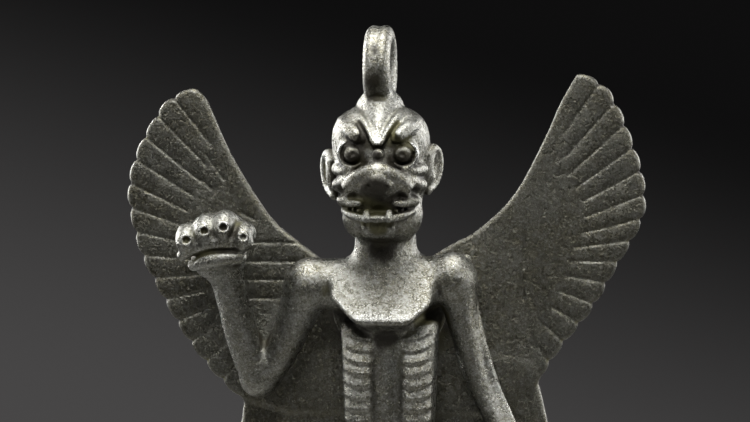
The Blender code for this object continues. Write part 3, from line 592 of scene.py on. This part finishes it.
def trunk(wax):
    """A lean trunk with two standing columns of ribs, under a chest plate like an upturned trapezium."""
    wax.add(Limb([(1.1, 1.0, 102), (1.2, 0.8, 92), (1.2, 1.0, 80), (0.8, 1.3, 70)],
                 (6.3, 6.3, 5.8, 6.2)), 1.5)
    for x, side in ((RIGHT_RIBS_X, -1), (LEFT_RIBS_X, 1)):
        inner, outer = x - side * RIBS_HALF, x + side * RIBS_HALF
        wax.add(Block([((0, -6.5, 90), (0, -1, 0.02)), ((0, -6.5, 90), (0, -1, -0.16)),
                       ((0, -6.4, 96), (0, -1, 0.45)),
                       ((inner, 0, 90), (-side, 0, 0.02)), ((outer, 0, 90), (side, 0, -0.05)),
                       ((outer - side * 1.2, -6.5, 90), (side, -0.8, 0)), ((0, 1, 90), (0, 1, 0)),
                       ((0, 0, 101.5), (0, 0, 1)), ((0, 0, 72), (0, 0, -1))],
                      1.1, (x - 3.2, -7.0, 72), (x + 3.2, 1, 101.5)), 1.1)
    wax.add(Ball((0.6, 1.4, 64.5), (8.2, 6.0, 6.5)), 2.5)
    wax.cut(Limb([(1.1, -7.2, 101), (1.1, -7.0, 91), (1.0, -6.3, 81), (0.8, -5.8, 73)],
                 (2.0, 2.1, 1.8, 1.0)), 1.0)
    wax.add(Ball((0.4, 4.5, 103), (9.5, 4.0, 8.0)), 2.5)
    wax.add(Limb([(-12.2, 0.6, 107.4), (-5, 0.6, 107.2), (5, 0.6, 107.5), (11.4, 0.6, 108.4)],
                 (3.8, 4.5, 4.5, 3.4)), 1.5)
    wax.add(Limb([(0.2, 0.2, 120), (0.2, 0.6, 107)], (4.9, 5.2)), 2.4)
    lean, underside, slant = (0, -1, 0.72), (0, -0.45, -1), 1.15
    wax.add(Block([((0, -8.9, 101.8), lean), ((0, -8.9, 101.2), underside),
                   ((-3.2, 0, 101.4), (-1, 0.1, -slant)), ((4.6, 0, 101.4), (1, 0.1, -slant)),
                   ((-9.0, 0, 106), (-1, -0.1, 0.1)), ((9.2, 0, 106), (1, -0.1, 0.1)),
                   ((0, 0, 109.6), (0, -0.3, 1)), ((0, 4, 105), (0, 1, 0))],
                  1.0, (-9.8, -9.9, 100.8), (10, 4, 111.5)), 1.3)


def rib_waves(wax):
    """Ribs across both columns, each rib rising outwards and overhanging the one below."""
    pitch = parts(RIB_PITCH)

    def height(p):
        x, y, z = p.T
        total = np.zeros(len(p))
        for middle, outward in ((RIGHT_RIBS_X, -1), (LEFT_RIBS_X, 1)):
            across = (x - middle) * outward
            tilt = 0.28 * np.clip((z - 84) / 16, 0.15, 1.4) * across + 0.1 * across ** 2
            turn = 2 * math.pi * (z - tilt) / pitch
            wave = (np.cos(turn) - 0.35 * np.sin(2 * turn)) * 0.5 - 0.5
            on_column = np.exp(-(across / 2.3) ** 6) * np.clip((-1 - y) / 2, 0, 1)
            under_chest = np.clip((101 - z) / 1.5, 0, 1)
            above_hips = np.clip((z - 68) / 4, 0, 1)
            total += RIB_DEPTH * wave * on_column * under_chest * above_hips
        return total

    wax.raised(Waves(height, (-9, -12, 66), (11, 2, 102)))


def right_arm(wax):
    """The raised arm: its elbow touches the wing, and its paw shows the palm side to the front."""
    wax.add(Ball((-12.1, -0.3, 107.2), (3.6, 3.8, 4.1)), 1.6)
    wax.add(Limb([(-12.8, 0, 107.0), (-15.0, 0.8, 101), (-17.8, 1.8, 95.5), (-20.6, 2.6, 91.8)],
                 (3.9, 3.1, 2.9, 3.0)), 1.2)
    wax.add(Ball((-21.2, 3.0, 91.0), (2.8, 3.0, 2.7)), 1.0)
    wax.add(Limb([(-21.2, 2.4, 91.8), (-23.6, 0.6, 98.5), (-25.0, -0.6, 104), (-26.2, -1.6, 109.5)],
                 (3.1, 2.85, 2.65, 2.75)), 1.0)
    x, y, z = RIGHT_PAW
    wax.add(Ball((x + 0.2, y + 2.0, z + 0.4), (5.7, 2.7, 4.1)), 1.4)
    wax.add(Ball((x + 0.3, y + 0.9, z - 3.0), (4.5, 2.8, 3.8)), 1.2)
    toes = [(-4.6, 0.2, 1.8), (-1.6, 1.7, 1.85), (1.6, 2.3, 1.85), (4.9, 0.7, 1.55)]
    for across, up, thick in toes:
        wax.add(Limb([(x + across * 0.97, y + 2.2, z + up + 0.5), (x + across, y - 0.8, z + up + 0.95),
                      (x + across, y - 2.9, z + up - 0.1), (x + across, y - 3.0, z + up - 1.3)],
                     np.array([1, 1, 0.92, 0.62]) * thick), 1.0)
    wax.add(Limb([(x - 5.3, y - 1.9, z - 2.4), (x - 3.0, y - 2.8, z - 1.1), (x + 0.5, y - 3.0, z - 0.2),
                  (x + 5.6, y - 2.2, z - 0.4)], (0.9, 1.05, 1.1, 0.9)), 0.9)
    wax.add(Limb([(x - 3.4, y - 1.6, z - 4.0), (x - 0.6, y - 2.5, z - 3.1), (x + 4.2, y - 2.1, z - 2.6)],
                 (1.0, 1.4, 1.2)), 0.7)
    for across, up, thick in toes:
        wax.cut(Ball((x + across + 0.3, y - 4.7, z + up + 0.1), (0.62, 1.1, 0.58)), 0.35)


def left_arm(wax):
    """The lowered arm, with a crest along its outer side and a clawed paw beside the hip."""
    wax.add(Ball((11.4, -0.1, 108.6), (3.3, 3.7, 4.0)), 1.6)
    wax.add(Limb([(11.8, 0.2, 108.0), (13.2, 1.2, 100), (15.5, 2.2, 91.5), (18.9, 1.6, 84.6),
                  (21.8, -0.2, 77.5), (23.3, -1.8, 73.5)], (3.4, 2.4, 2.2, 2.3, 2.3, 2.4)), 1.2)
    wax.add(Limb([(13.4, 2.8, 111.5), (14.7, 1.8, 104), (16.3, 1.6, 97), (18.5, 1.6, 90),
                  (20.9, 0.8, 84.6), (23.2, -0.6, 78)], (0.7, 0.8, 0.8, 0.8, 0.8, 0.7)), 0.6)
    x, y, z = LEFT_PAW
    wax.add(Ball((x, y + 0.6, z), (4.2, 2.6, 3.8)), 1.4)
    for across in (-3.9, -1.4, 1.2, 3.8):
        wax.add(Limb([(x + across * 0.8, y + 0.4, z - 1.0), (x + across, y - 1.6, z - 2.6),
                      (x + across, y - 1.9, z - 4.9)], (1.6, 1.5, 0.9)), 0.5)
    wax.add(Limb([(x - 4.0, y - 0.6, z + 1.8), (x - 4.0, y - 2.2, z - 0.6)], (1.4, 0.9)), 0.6)


def legs(wax):
    """Legs like a bird's below the knee: a bent shank, a spur, three toes forward and one back."""
    for side in BOTH_SIDES:
        knee, ankle = (side * 6.1, -3.0, 41.5), (side * 6.4, 2.6, 18.5)
        wax.add(Limb([(side * 4.4 + 0.3, 0.8, 62), (side * 5.3 + 0.2, -0.6, 54),
                      (side * 5.9, -2.2, 46), knee], (4.9, 4.4, 3.5, 2.9)), 1.8)
        wax.add(Limb([knee, (side * 6.2, -0.6, 33), (side * 6.3, 1.6, 25), ankle],
                     (2.9, 2.7, 2.2, 2.0)), 1.2)
        foot = np.array((side * FOOT_X, FOOT_Y, 8.6))
        wax.add(Limb([ankle, (side * 6.5, 0.9, 13.5), foot + (0, 0.4, 0.6)], (2.0, 1.8, 2.1)), 0.8)
        for turn in (-TOE_SPREAD, 0, TOE_SPREAD):
            ahead = np.array((math.sin(turn), -math.cos(turn), 0))
            wax.add(Limb([foot + (0, 0, 0.2), foot + ahead * 3.4 + (0, 0, 0.6), foot + ahead * 7.0,
                          foot + ahead * 9.6 + (0, 0, -0.9), foot + ahead * TOE_REACH + (0, 0, -2.2)],
                         (1.8, 1.75, 1.5, 1.3, 0.5)), 0.6)
        wax.add(Limb([foot + (0, 1, 0.2), foot + (0, 5, 0), foot + (0, HEEL_Y, -1.8)],
                     (1.7, 1.4, 0.8)), 0.6)
        wax.add(Limb([(side * 6.4, 3.4, 21), (side * 6.4, 6.0, 19.8), (side * 6.4, 7.4, 17.6)],
                     (1.5, 1.1, 0.6)), 0.8)


def tail(wax):
    """A scorpion's tail, in beads, rising behind the lower wings."""
    line = curve_through([(0.4, 8.5, 63.5), (0.3, 13.0, 59.5), (0.2, 18.0, 59.5), (0.1, 21.3, 64),
                          (0, 21.6, 70.5), (0, 19.4, 76)], 1)
    wax.add(Limb(line, (3.0, 2.3, 2.1, 2.0, 1.8, 1.6)), 1.5)
    for place, size in zip(line, (3.2, 2.7, 2.5, 2.4, 2.2, 2.0)):
        wax.add(Ball(place, (size, size, size)), 0.5)
    wax.add(Ball((0, 17.6, 79.0), (2.0, 2.2, 2.0)), 0.6)
    wax.add(Limb([(0, 16.6, 80.2), (0, 14.6, 81.4), (0, 12.9, 80.4)], (1.3, 0.9, 0.45)), 0.4)


def head_at(x, y, z):
    """A place on the head, which looks a little to the figure's left."""
    return x + HEAD_X - HEAD_TURN * y, y, z


def head(wax):
    """The skull, brow, snout and jaw."""
    wax.add(Ball(head_at(0.1, -1.2, 129.4), (8.0, 8.6, 8.0)), 1.5)
    for side in BOTH_SIDES:
        wax.add(Ball(head_at(side * 3.9, -2.6, 132.0), (3.9, 5.9, 4.2)), 1.2)
        wax.add(Ball(head_at(side * 3.5 + 0.45, -4.2, 119.0), (3.1, 4.6, 4.0)), 1.2)
    wax.add(Ball(head_at(0.45, -4.6, 118.9), (5.2, 5.6, 4.3)), 1.2)
    wax.add(Ball(head_at(0.3, -3.0, 124.0), (7.1, 6.6, 6.4)), 1.2)
    snout(wax)
    forehead(wax)
    for side in BOTH_SIDES:
        brow(wax, side)
        eye(wax, side)
        cheek(wax, side)
        ear(wax, side)
    wax.add(Ball(head_at(0.15, -11.0, 129.1), (0.95, 1.1, 0.95)), 0.25)
    wax.cut(Ball(head_at(0.15, -12.4, 129.0), (0.4, 0.5, 0.4)), 0.15)
    mouth(wax)


def forehead(wax):
    """A smooth wedge from the crown down to the root of the nose."""
    wax.add(Limb([head_at(0, -1.8, 136.2), head_at(0, -5.6, 134.6), head_at(0, -8.4, 132.8),
                  head_at(0, -10.2, 131.2)], (3.7, 2.3, 1.3, 0.5)), 0.7)


def brow(wax, side):
    """Two rolls from the crown to the root of the nose, and the deep hollow under them."""
    wax.add(Limb([head_at(side * 4.3, -3.4, 136.0), head_at(side * 3.1, -6.7, 135.1),
                  head_at(side * 1.9, -8.9, 133.4), head_at(side * 1.1, -10.2, 131.8),
                  head_at(side * 0.4, -10.9, 130.8)], (0.4, 0.62, 0.58, 0.5, 0.4)), 0.6)
    wax.add(Limb([head_at(side * 6.2, -4.4, 134.4), head_at(side * 5.1, -7.3, 133.4),
                  head_at(side * 3.7, -9.3, 132.3), head_at(side * 2.8, -10.2, 131.5)],
                 (0.6, 1.2, 1.2, 0.8)), 0.7)
    wax.cut(Limb([head_at(side * 3.2, -8.4, 134.0), head_at(side * 2.4, -10.0, 132.4),
                  head_at(side * 2.2, -11.2, 130.8), head_at(side * 2.15, -11.5, 129.0)],
                 (0.2, 0.45, 0.95, 0.95)), 0.5)
    wax.cut(Ball(head_at(side * 2.9, -12.0, 130.7), (1.2, 2.2, 1.5)), 0.6)


def eye(wax, side):
    """A bulging eyeball with a drilled pupil, in a round socket with a raised lid below and outside."""
    x, z = side * 4.15, 129.1
    wax.cut(Ball(head_at(x, -11.8, z), (2.25, 2.7, 2.25)), 0.5)
    wax.add(Ball(head_at(x, -7.7, z), (2.6, 1.95, 2.6)), 0.5)
    lid = []
    for angle in np.radians(np.linspace(-138, 72, 9)):
        across, up = 2.15 * math.cos(angle), 2.15 * math.sin(angle)
        lid.append(head_at(x + side * (across + 0.1), -9.9 + 0.22 * across, z + up))
    wax.add(Limb(lid, (0.15, 0.28, 0.32, 0.34, 0.34, 0.34, 0.32, 0.25, 0.15), 2), 0.4)
    wax.add(Ball(head_at(x, -9.1, z), (1.5, 1.55, 1.5)), 0.2)
    wax.cut(Ball(head_at(x - side * 0.1, -10.8, z), (0.5, 0.45, 0.5)), 0.25)


def cheek(wax, side):
    """Two pads that fan from the snout to the ear, over a hollow beside the mouth."""
    wax.add(Limb([head_at(side * 4.4, -9.9, 126.6), head_at(side * 5.8, -8.2, 126.3),
                  head_at(side * 6.8, -4.4, 126.5)], (0.5, 0.95, 1.15)), 0.55)
    wax.add(Limb([head_at(side * 4.4, -10.0, 125.5), head_at(side * 5.7, -8.4, 124.5),
                  head_at(side * 6.7, -4.8, 123.9)], (0.5, 0.95, 1.15)), 0.55)
    wax.cut(Ball(head_at(side * 6.3, -8.9, 122.8), (1.2, 1.6, 0.8)), 0.7)


def snout(wax):
    """A short snout: a domed top with an arched edge, a front that leans back, a nose and nostrils."""
    wax.add(Ball(head_at(0.1, -7.4, 124.2), (4.8, 5.7, 3.2)), 1.2)
    wax.add(Ball(head_at(0.1, -6.3, 121.8), (5.1, 4.7, 2.6)), 1.0)
    wax.add(Limb([head_at(0.1, -9.6, 127.4), head_at(0.1, -11.6, 126.4)], (1.7, 1.5)), 1.4)
    arch = [(-5.6, -8.0, 121.6), (-4.8, -9.4, 123.5), (-3.6, -10.7, 125.1), (-2.0, -11.7, 126.0),
            (0, -12.2, 126.3)]
    arch += [(-x, y, z) for x, y, z in arch[-2::-1]]
    wax.add(Limb([head_at(*place) for place in arch], 1.25, 3), 0.9)
    wax.add(Ball(head_at(0.1, -12.6, 125.1), (1.5, 1.5, 1.25)), 0.6)
    for side in BOTH_SIDES:
        wax.add(Ball(head_at(side * 1.7 + 0.1, -11.9, 124.2), (0.95, 1.2, 0.8)), 0.5)
        wax.cut(Ball(head_at(side * 1.5 + 0.1, -13.4, 124.0), (0.4, 0.7, 0.36)), 0.2)


def ear(wax, side):
    """A round ear with a rolled rim and a hollow, the right ear a little lower."""
    drop = 0.0 if side > 0 else -0.9
    wax.add(Ball(head_at(side * 8.0, -0.8, 126.5 + drop), (1.3, 2.5, 3.5), side * 8), 0.8)
    wax.add(Limb([head_at(side * 7.8, -2.8, 128.8 + drop), head_at(side * 8.6, -1.4, 129.8 + drop),
                  head_at(side * 9.2, 0.6, 129.0 + drop), head_at(side * 9.4, 1.2, 126.9 + drop),
                  head_at(side * 8.8, 0.6, 124.4 + drop), head_at(side * 7.7, -1.4, 122.9 + drop)],
                 (0.7, 0.8, 0.85, 0.85, 0.85, 0.8)), 0.35)
    wax.cut(Ball(head_at(side * 9.6, -1.4, 126.8 + drop), (1.1, 1.4, 2.0)), 0.3)


def mouth(wax):
    """A wide grin: full lips, teeth at the corners, two fangs, a tongue and a short beard."""
    wax.cut(Ball(head_at(0.1, -12.2, 119.8), (2.5, 2.6, 1.0)), 0.4)
    for side in BOTH_SIDES:
        wax.add(Limb([head_at(side * 5.8, -7.4, 121.5), head_at(side * 4.6, -9.7, 121.1),
                      head_at(side * 2.9, -11.0, 121.1)], (0.5, 0.7, 0.5)), 0.6)
        wax.cut(Limb([head_at(side * 6.0, -8.0, 120.6), head_at(side * 4.7, -10.3, 120.1),
                      head_at(side * 2.4, -12.0, 119.7)], (0.12, 0.2, 0.4)), 0.2)
        wax.add(Limb([head_at(side * 5.7, -7.6, 119.8), head_at(side * 4.5, -9.8, 119.2),
                      head_at(side * 2.4, -11.3, 118.7), head_at(0, -11.8, 118.6)],
                     (0.5, 0.6, 0.58, 0.55)), 0.45)
        for tooth in range(4):
            share = tooth / 3
            wax.add(Ball(head_at(side * (3.0 + 2.7 * share), -10.3 + 2.5 * share, 119.9 + 0.5 * share),
                         (0.36, 0.5, 0.36)), 0.12)
        wax.add(Limb([head_at(side * 1.85 + 0.15, -11.5, 119.7), head_at(side * 1.8 + 0.15, -11.9, 118.6)],
                     (0.5, 0.65)), 0.2)
    wax.add(Ball(head_at(0.15, -9.8, 118.9), (1.5, 1.9, 0.75)), 0.25)
    for lock in range(5):
        x = (lock - 2) * 1.1 + 0.1
        back = abs(x) * 0.25
        wax.add(Limb([head_at(x, back - 10.1, 118.1), head_at(x, back - 10.2, 117.0),
                      head_at(x * 0.95, back - 9.2, 115.9)], (0.6, 0.66, 0.55)), 0.6)


def suspension_ring(wax):
    """A ring of two cords side by side, its hole across the figure, on a foot at the crown."""
    wall, bore, width = parts(RING_WALL), parts(RING_BORE), parts(RING_WIDTH)
    radius = (bore + wall) / 2
    across = (1, 0, 0)
    centre = (RING_X, RING_Y, CROWN + bore / 2 + wall - RING_SUNK)
    half_cord = width / 3.4
    for side in BOTH_SIDES:
        cord_centre = (centre[0] + side * (width / 2 - half_cord), *centre[1:])
        wax.add(Hoop(cord_centre, radius, wall / 2, half_cord, across), 0.45)
    wax.add(Hoop(centre, radius, wall * 0.43, width * 0.44, across), 0.3)
    wax.add(Ball((RING_X, -0.8, CROWN - 0.2), (3.3, 5.0, 1.7)), 1.4)


def evaluated_mesh(obj):
    graph = bpy.context.evaluated_depsgraph_get()
    return bpy.data.meshes.new_from_object(obj.evaluated_get(graph))


def thinned_mesh(mesh, triangles):
    obj = bpy.data.objects.new("Dense", mesh)
    bpy.context.scene.collection.objects.link(obj)
    decimate = obj.modifiers.new("Decimate", "DECIMATE")
    decimate.ratio = min(1.0, triangles / (2 * len(mesh.vertices)))
    made = evaluated_mesh(obj)
    bpy.data.objects.remove(obj)
    return made


def paint(mesh, name, values):
    """Keeps a number between 0 and 1 for each corner, which the material reads by its name."""
    layer = mesh.attributes.new(name, "FLOAT", "POINT")
    layer.data.foreach_set("value", np.clip(values, 0, 1).astype(np.float32))


def evened(mesh, values):
    """A number of each corner, evened out with its neighbours."""
    a, b, links = edge_ends(mesh)
    count = len(values)
    around = np.bincount(a, values[b], count) + np.bincount(b, values[a], count)
    return WEAR_KEPT * values + (1 - WEAR_KEPT) * around / links


def paint_wear(mesh, wax):
    """How far each place stands out or lies hidden, found from the forms above and below the surface, with
    painted shade and some dark dirt at the dark places.
    """
    p = corner_places(mesh)
    gradient = wax.slope(p)[1]
    normal = gradient / np.sqrt(np.maximum((gradient ** 2).sum(1), NOT_NOUGHT))[:, None]
    hidden = np.zeros(len(p))
    for reach, weight in HIDDEN_REACHES:
        hidden += weight * np.clip(1 - wax.distance(p + normal * reach) / reach, 0, 1)
    standing_out = np.zeros(len(p))
    for reach, weight in WORN_REACHES:
        standing_out += weight * np.clip(1 + wax.distance(p - normal * reach) / reach, 0, 1)
    # Painted shade, with some dark dirt, at the dark places; it goes into the hollow attribute.
    for place, radius in DARK_PLACES:
        dirt_and_shade = DARK_PLACE_DIRT_AND_SHADE * np.exp(-((p - place) ** 2).sum(1) / radius ** 2)
        hidden = np.maximum(hidden, dirt_and_shade)
    paint(mesh, "hollow", evened(mesh, hidden) * WEAR_GAIN)
    paint(mesh, "worn", evened(mesh, standing_out * WEAR_GAIN - hidden))


def add_figure():
    """The figure in one fine mesh, with its underside on the ground."""
    wax = Wax()
    for form in (base, upper_wings, lower_wings, trunk, legs, tail, right_arm, left_arm, head,
                 suspension_ring, rib_waves):
        form(wax)
    mesh = wax.surface("Dense", parts(GRID_STEP))
    wax.settle(mesh)
    mesh = thinned_mesh(mesh, FIGURE_TRIANGLES)
    paint_wear(mesh, wax)
    under = SOLES - parts(BASE_THICKNESS)
    mesh.transform(Matrix.Scale(SHARE, 4) @ Matrix.Translation((0, 0, -under)))
    mesh.shade_smooth()
    mesh.materials.clear()
    mesh.materials.append(aged_bronze())
    figure = bpy.data.objects.new("figure", mesh)
    bpy.context.scene.collection.objects.link(figure)
    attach(figure, "root")
    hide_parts("pazuzu_figure")


class Nodes:
    """Builds a material's nodes."""

    def __init__(self, name):
        self.material = bpy.data.materials.new(name)
        self.material.use_nodes = True
        self.tree = self.material.node_tree
        self.shader = self.tree.nodes["Principled BSDF"]

    def make(self, kind, settings=(), **inputs):
        node = self.tree.nodes.new(kind)
        for name, value in dict(settings).items():
            setattr(node, name, value)
        for name, value in inputs.items():
            self.feed(node.inputs[name.replace("_", " ")], value)
        return node

    def feed(self, socket, value):
        if isinstance(value, bpy.types.NodeSocket):
            self.tree.links.new(value, socket)
        else:
            socket.default_value = value

    def place(self):
        return self.make("ShaderNodeTexCoord").outputs["Object"]

    def noise(self, where, per_metre, detail, roughness):
        node = self.make("ShaderNodeTexNoise", Vector=where, Scale=per_metre, Detail=detail,
                         Roughness=roughness)
        return node.outputs["Fac"]

    def kept(self, name):
        """The number that each corner of the mesh keeps under this name."""
        node = self.make("ShaderNodeAttribute", {"attribute_name": name})
        return node.outputs["Fac"]

    def math(self, operation, a, b=0.0, clamp=False):
        node = self.tree.nodes.new("ShaderNodeMath")
        node.operation = operation
        node.use_clamp = clamp
        self.feed(node.inputs[0], a)
        self.feed(node.inputs[1], b)
        return node.outputs[0]

    def between(self, value, low, high, least=0.0, most=1.0):
        """The value stretched so that low gives least and high gives most, and held between them."""
        node = self.make("ShaderNodeMapRange", {"interpolation_type": "SMOOTHSTEP"})
        self.feed(node.inputs["Value"], value)
        node.inputs["From Min"].default_value = low
        node.inputs["From Max"].default_value = high
        node.inputs["To Min"].default_value = least
        node.inputs["To Max"].default_value = most
        return node.outputs["Result"]

    def mix(self, share, a, b):
        """A colour that goes from a to b as the share goes from nought to one."""
        node = self.tree.nodes.new("ShaderNodeMix")
        node.data_type = "RGBA"
        self.feed(node.inputs["Factor"], share)
        for name, colour in (("A", a), ("B", b)):
            socket = [s for s in node.inputs if s.name == name and s.type == "RGBA"][0]
            self.feed(socket, (*colour, 1) if isinstance(colour, tuple) else colour)
        return [s for s in node.outputs if s.type == "RGBA"][0]

    def bump(self, height, distance, strength, normal=None):
        node = self.make("ShaderNodeBump", Height=height, Distance=distance, Strength=strength)
        if normal is not None:
            self.feed(node.inputs["Normal"], normal)
        return node.outputs["Normal"]


def aged_bronze():
    """Dark bronze with a fine grain and a grey bloom, olive grime in its hollows, painted shade at the dark
    places and on the wings behind the body, and bright worn edges.
    """
    n = Nodes("aged_bronze")
    where = n.place()
    blotches = n.noise(where, BLOTCH_SCALE, 3.0, 0.5)
    mottle = n.noise(where, MOTTLE_SCALE, 4.0, 0.7)
    grain = n.noise(where, GRAIN_SCALE, 3.0, 0.75)
    # The hollow attribute holds dirt in the hollows and painted shade at the dark places.
    hollow = n.kept("hollow")
    worn = n.kept("worn")
    metal = n.mix(n.between(blotches, 0.36, 0.66), METAL_BROWN, METAL_GREY)
    metal = n.mix(n.between(mottle, 0.42, 0.70, 0.0, 0.8), metal, BLOOM_GREY)
    metal = n.mix(n.between(grain, 0.48, 0.70, 0.0, 0.75), metal, GRAIN_BRIGHT)
    metal = n.mix(n.between(grain, 0.46, 0.32, 0.0, 0.7), metal, GRAIN_DARK)
    # Painted shade: the wings behind the body darken with depth in Y.
    depth = n.make("ShaderNodeSeparateXYZ", Vector=where).outputs["Y"]
    behind = n.between(depth, WING_SHADE_FROM, WING_SHADE_TO)
    metal = n.mix(n.math("MULTIPLY", behind, WING_SHADE_SHARE), metal, WING_SHADE_COLOUR)
    rubbed = n.math("ADD", worn, n.math("MULTIPLY", n.math("SUBTRACT", grain, 0.5), 0.8))
    rubbed = n.between(rubbed, 0.42, 1.1, 0.0, 0.75)
    metal = n.mix(rubbed, metal, WORN_BRIGHT)
    # Dirt in the hollows, with painted shade at the dark places, darkens the colour and dulls the metal.
    dirt_and_shade = n.math("ADD", hollow, n.math("MULTIPLY", n.math("SUBTRACT", mottle, 0.5), 0.9))
    dirt_and_shade = n.between(dirt_and_shade, 0.34, 0.76)
    dirt_and_shade_colour = n.mix(n.between(blotches, 0.45, 0.65), DIRT_AND_SHADE_BROWN, DIRT_AND_SHADE_OLIVE)
    colour = n.mix(dirt_and_shade, metal, dirt_and_shade_colour)
    n.feed(n.shader.inputs["Base Color"], colour)
    n.feed(n.shader.inputs["Metallic"], n.math("SUBTRACT", 0.95, n.math("MULTIPLY", dirt_and_shade, 0.55)))
    rough = n.between(mottle, 0.35, 0.7, 0.23, 0.37)
    rough = n.math("SUBTRACT", rough, n.math("MULTIPLY", rubbed, 0.08))
    rough = n.math("ADD", rough, n.math("MULTIPLY", dirt_and_shade, 0.28), clamp=True)
    n.feed(n.shader.inputs["Roughness"], rough)
    normal = n.bump(n.noise(where, DENT_SCALE, 3.0, 0.5), DENT_DEPTH, 0.45)
    normal = n.bump(n.between(mottle, 0.30, 0.48), PIT_DEPTH, 0.6, normal)
    normal = n.bump(grain, GRAIN_DEPTH, 0.9, normal)
    n.feed(n.shader.inputs["Normal"], normal)
    return n.material


def pale_floor():
    n = Nodes("pale_floor")
    shade = n.between(n.noise(n.place(), FLOOR_SCALE, 3.0, 0.5), 0.3, 0.7)
    n.feed(n.shader.inputs["Base Color"], n.mix(shade, FLOOR_DULL, FLOOR_PALE))
    n.shader.inputs["Roughness"].default_value = 0.8
    return n.material


def add_floor():
    mesh = bpy.data.meshes.new("floor")
    side = FLOOR_SIDE / 2
    front, back = -FLOOR_SIDE + FLOOR_BEHIND, FLOOR_BEHIND
    corners = [(-side, front, 0), (side, front, 0), (side, back, 0), (-side, back, 0)]
    mesh.from_pydata(corners, [], [(0, 1, 2, 3)])
    mesh.materials.append(pale_floor())
    floor = bpy.data.objects.new("floor", mesh)
    bpy.context.scene.collection.objects.link(floor)


def aim(obj, target):
    obj.rotation_euler = (Vector(target) - obj.location).to_track_quat("-Z", "Y").to_euler()


def add_light(name, place, width, height, watts, spread):
    light = bpy.data.lights.new(name, "AREA")
    light.shape = "RECTANGLE"
    light.size, light.size_y = width, height
    light.energy = watts
    light.spread = math.radians(spread)
    obj = bpy.data.objects.new(name, light)
    bpy.context.scene.collection.objects.link(obj)
    obj.location = place
    aim(obj, LOOKED_AT)


def add_lights():
    """A soft box just overhead, a weaker one in front, and soft boxes beside and behind for the edges."""
    for name, settings in LIGHTS.items():
        add_light(name, *settings)


def add_world():
    """A dark backdrop that grows lighter downwards and to the left."""
    world = bpy.data.worlds.new("studio")
    bpy.context.scene.world = world
    world.use_nodes = True
    tree = world.node_tree
    place = tree.nodes.new("ShaderNodeTexCoord")
    apart = tree.nodes.new("ShaderNodeSeparateXYZ")
    ramp = tree.nodes.new("ShaderNodeMapRange")
    ramp.interpolation_type = "SMOOTHSTEP"
    shade = tree.nodes.new("ShaderNodeMix")
    shade.data_type = "RGBA"
    ramp.inputs["From Min"].default_value = BACKDROP_LOW
    ramp.inputs["From Max"].default_value = BACKDROP_HIGH
    tree.links.new(place.outputs["Generated"], apart.inputs[0])
    slant = tree.nodes.new("ShaderNodeMath")
    slant.operation = "MULTIPLY_ADD"
    slant.inputs[1].default_value = BACKDROP_SLANT
    tree.links.new(apart.outputs["X"], slant.inputs[0])
    tree.links.new(apart.outputs["Z"], slant.inputs[2])
    tree.links.new(slant.outputs[0], ramp.inputs["Value"])
    tree.links.new(ramp.outputs["Result"], shade.inputs["Factor"])
    ends = [socket for socket in shade.inputs if socket.type == "RGBA"]
    ends[0].default_value = (*BACKDROP_PALE, 1)
    ends[1].default_value = (*BACKDROP_DARK, 1)
    blend = [socket for socket in shade.outputs if socket.type == "RGBA"][0]
    tree.links.new(blend, tree.nodes["Background"].inputs["Color"])


def add_camera():
    """The photograph's view, a little from the figure's left and a little from above."""
    data = bpy.data.cameras.new("camera")
    data.lens = LENS
    data.sensor_width = SENSOR
    data.sensor_fit = "HORIZONTAL"
    data.clip_start = 0.01
    camera = bpy.data.objects.new("camera", data)
    bpy.context.scene.collection.objects.link(camera)
    turn, rise = math.radians(CAMERA_TURN), math.radians(CAMERA_RISE)
    back = Vector((math.sin(turn) * math.cos(rise), -math.cos(turn) * math.cos(rise), math.sin(rise)))
    camera.location = Vector(FRAME_CENTRE) + back * LENS * FRAME_WIDTH / SENSOR
    aim(camera, FRAME_CENTRE)
    bpy.context.scene.camera = camera


def main():
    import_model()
    bpy.context.scene.view_settings.view_transform = "Standard"
    add_camera()
    add_lights()
    add_world()
    add_floor()
    add_figure()


main()
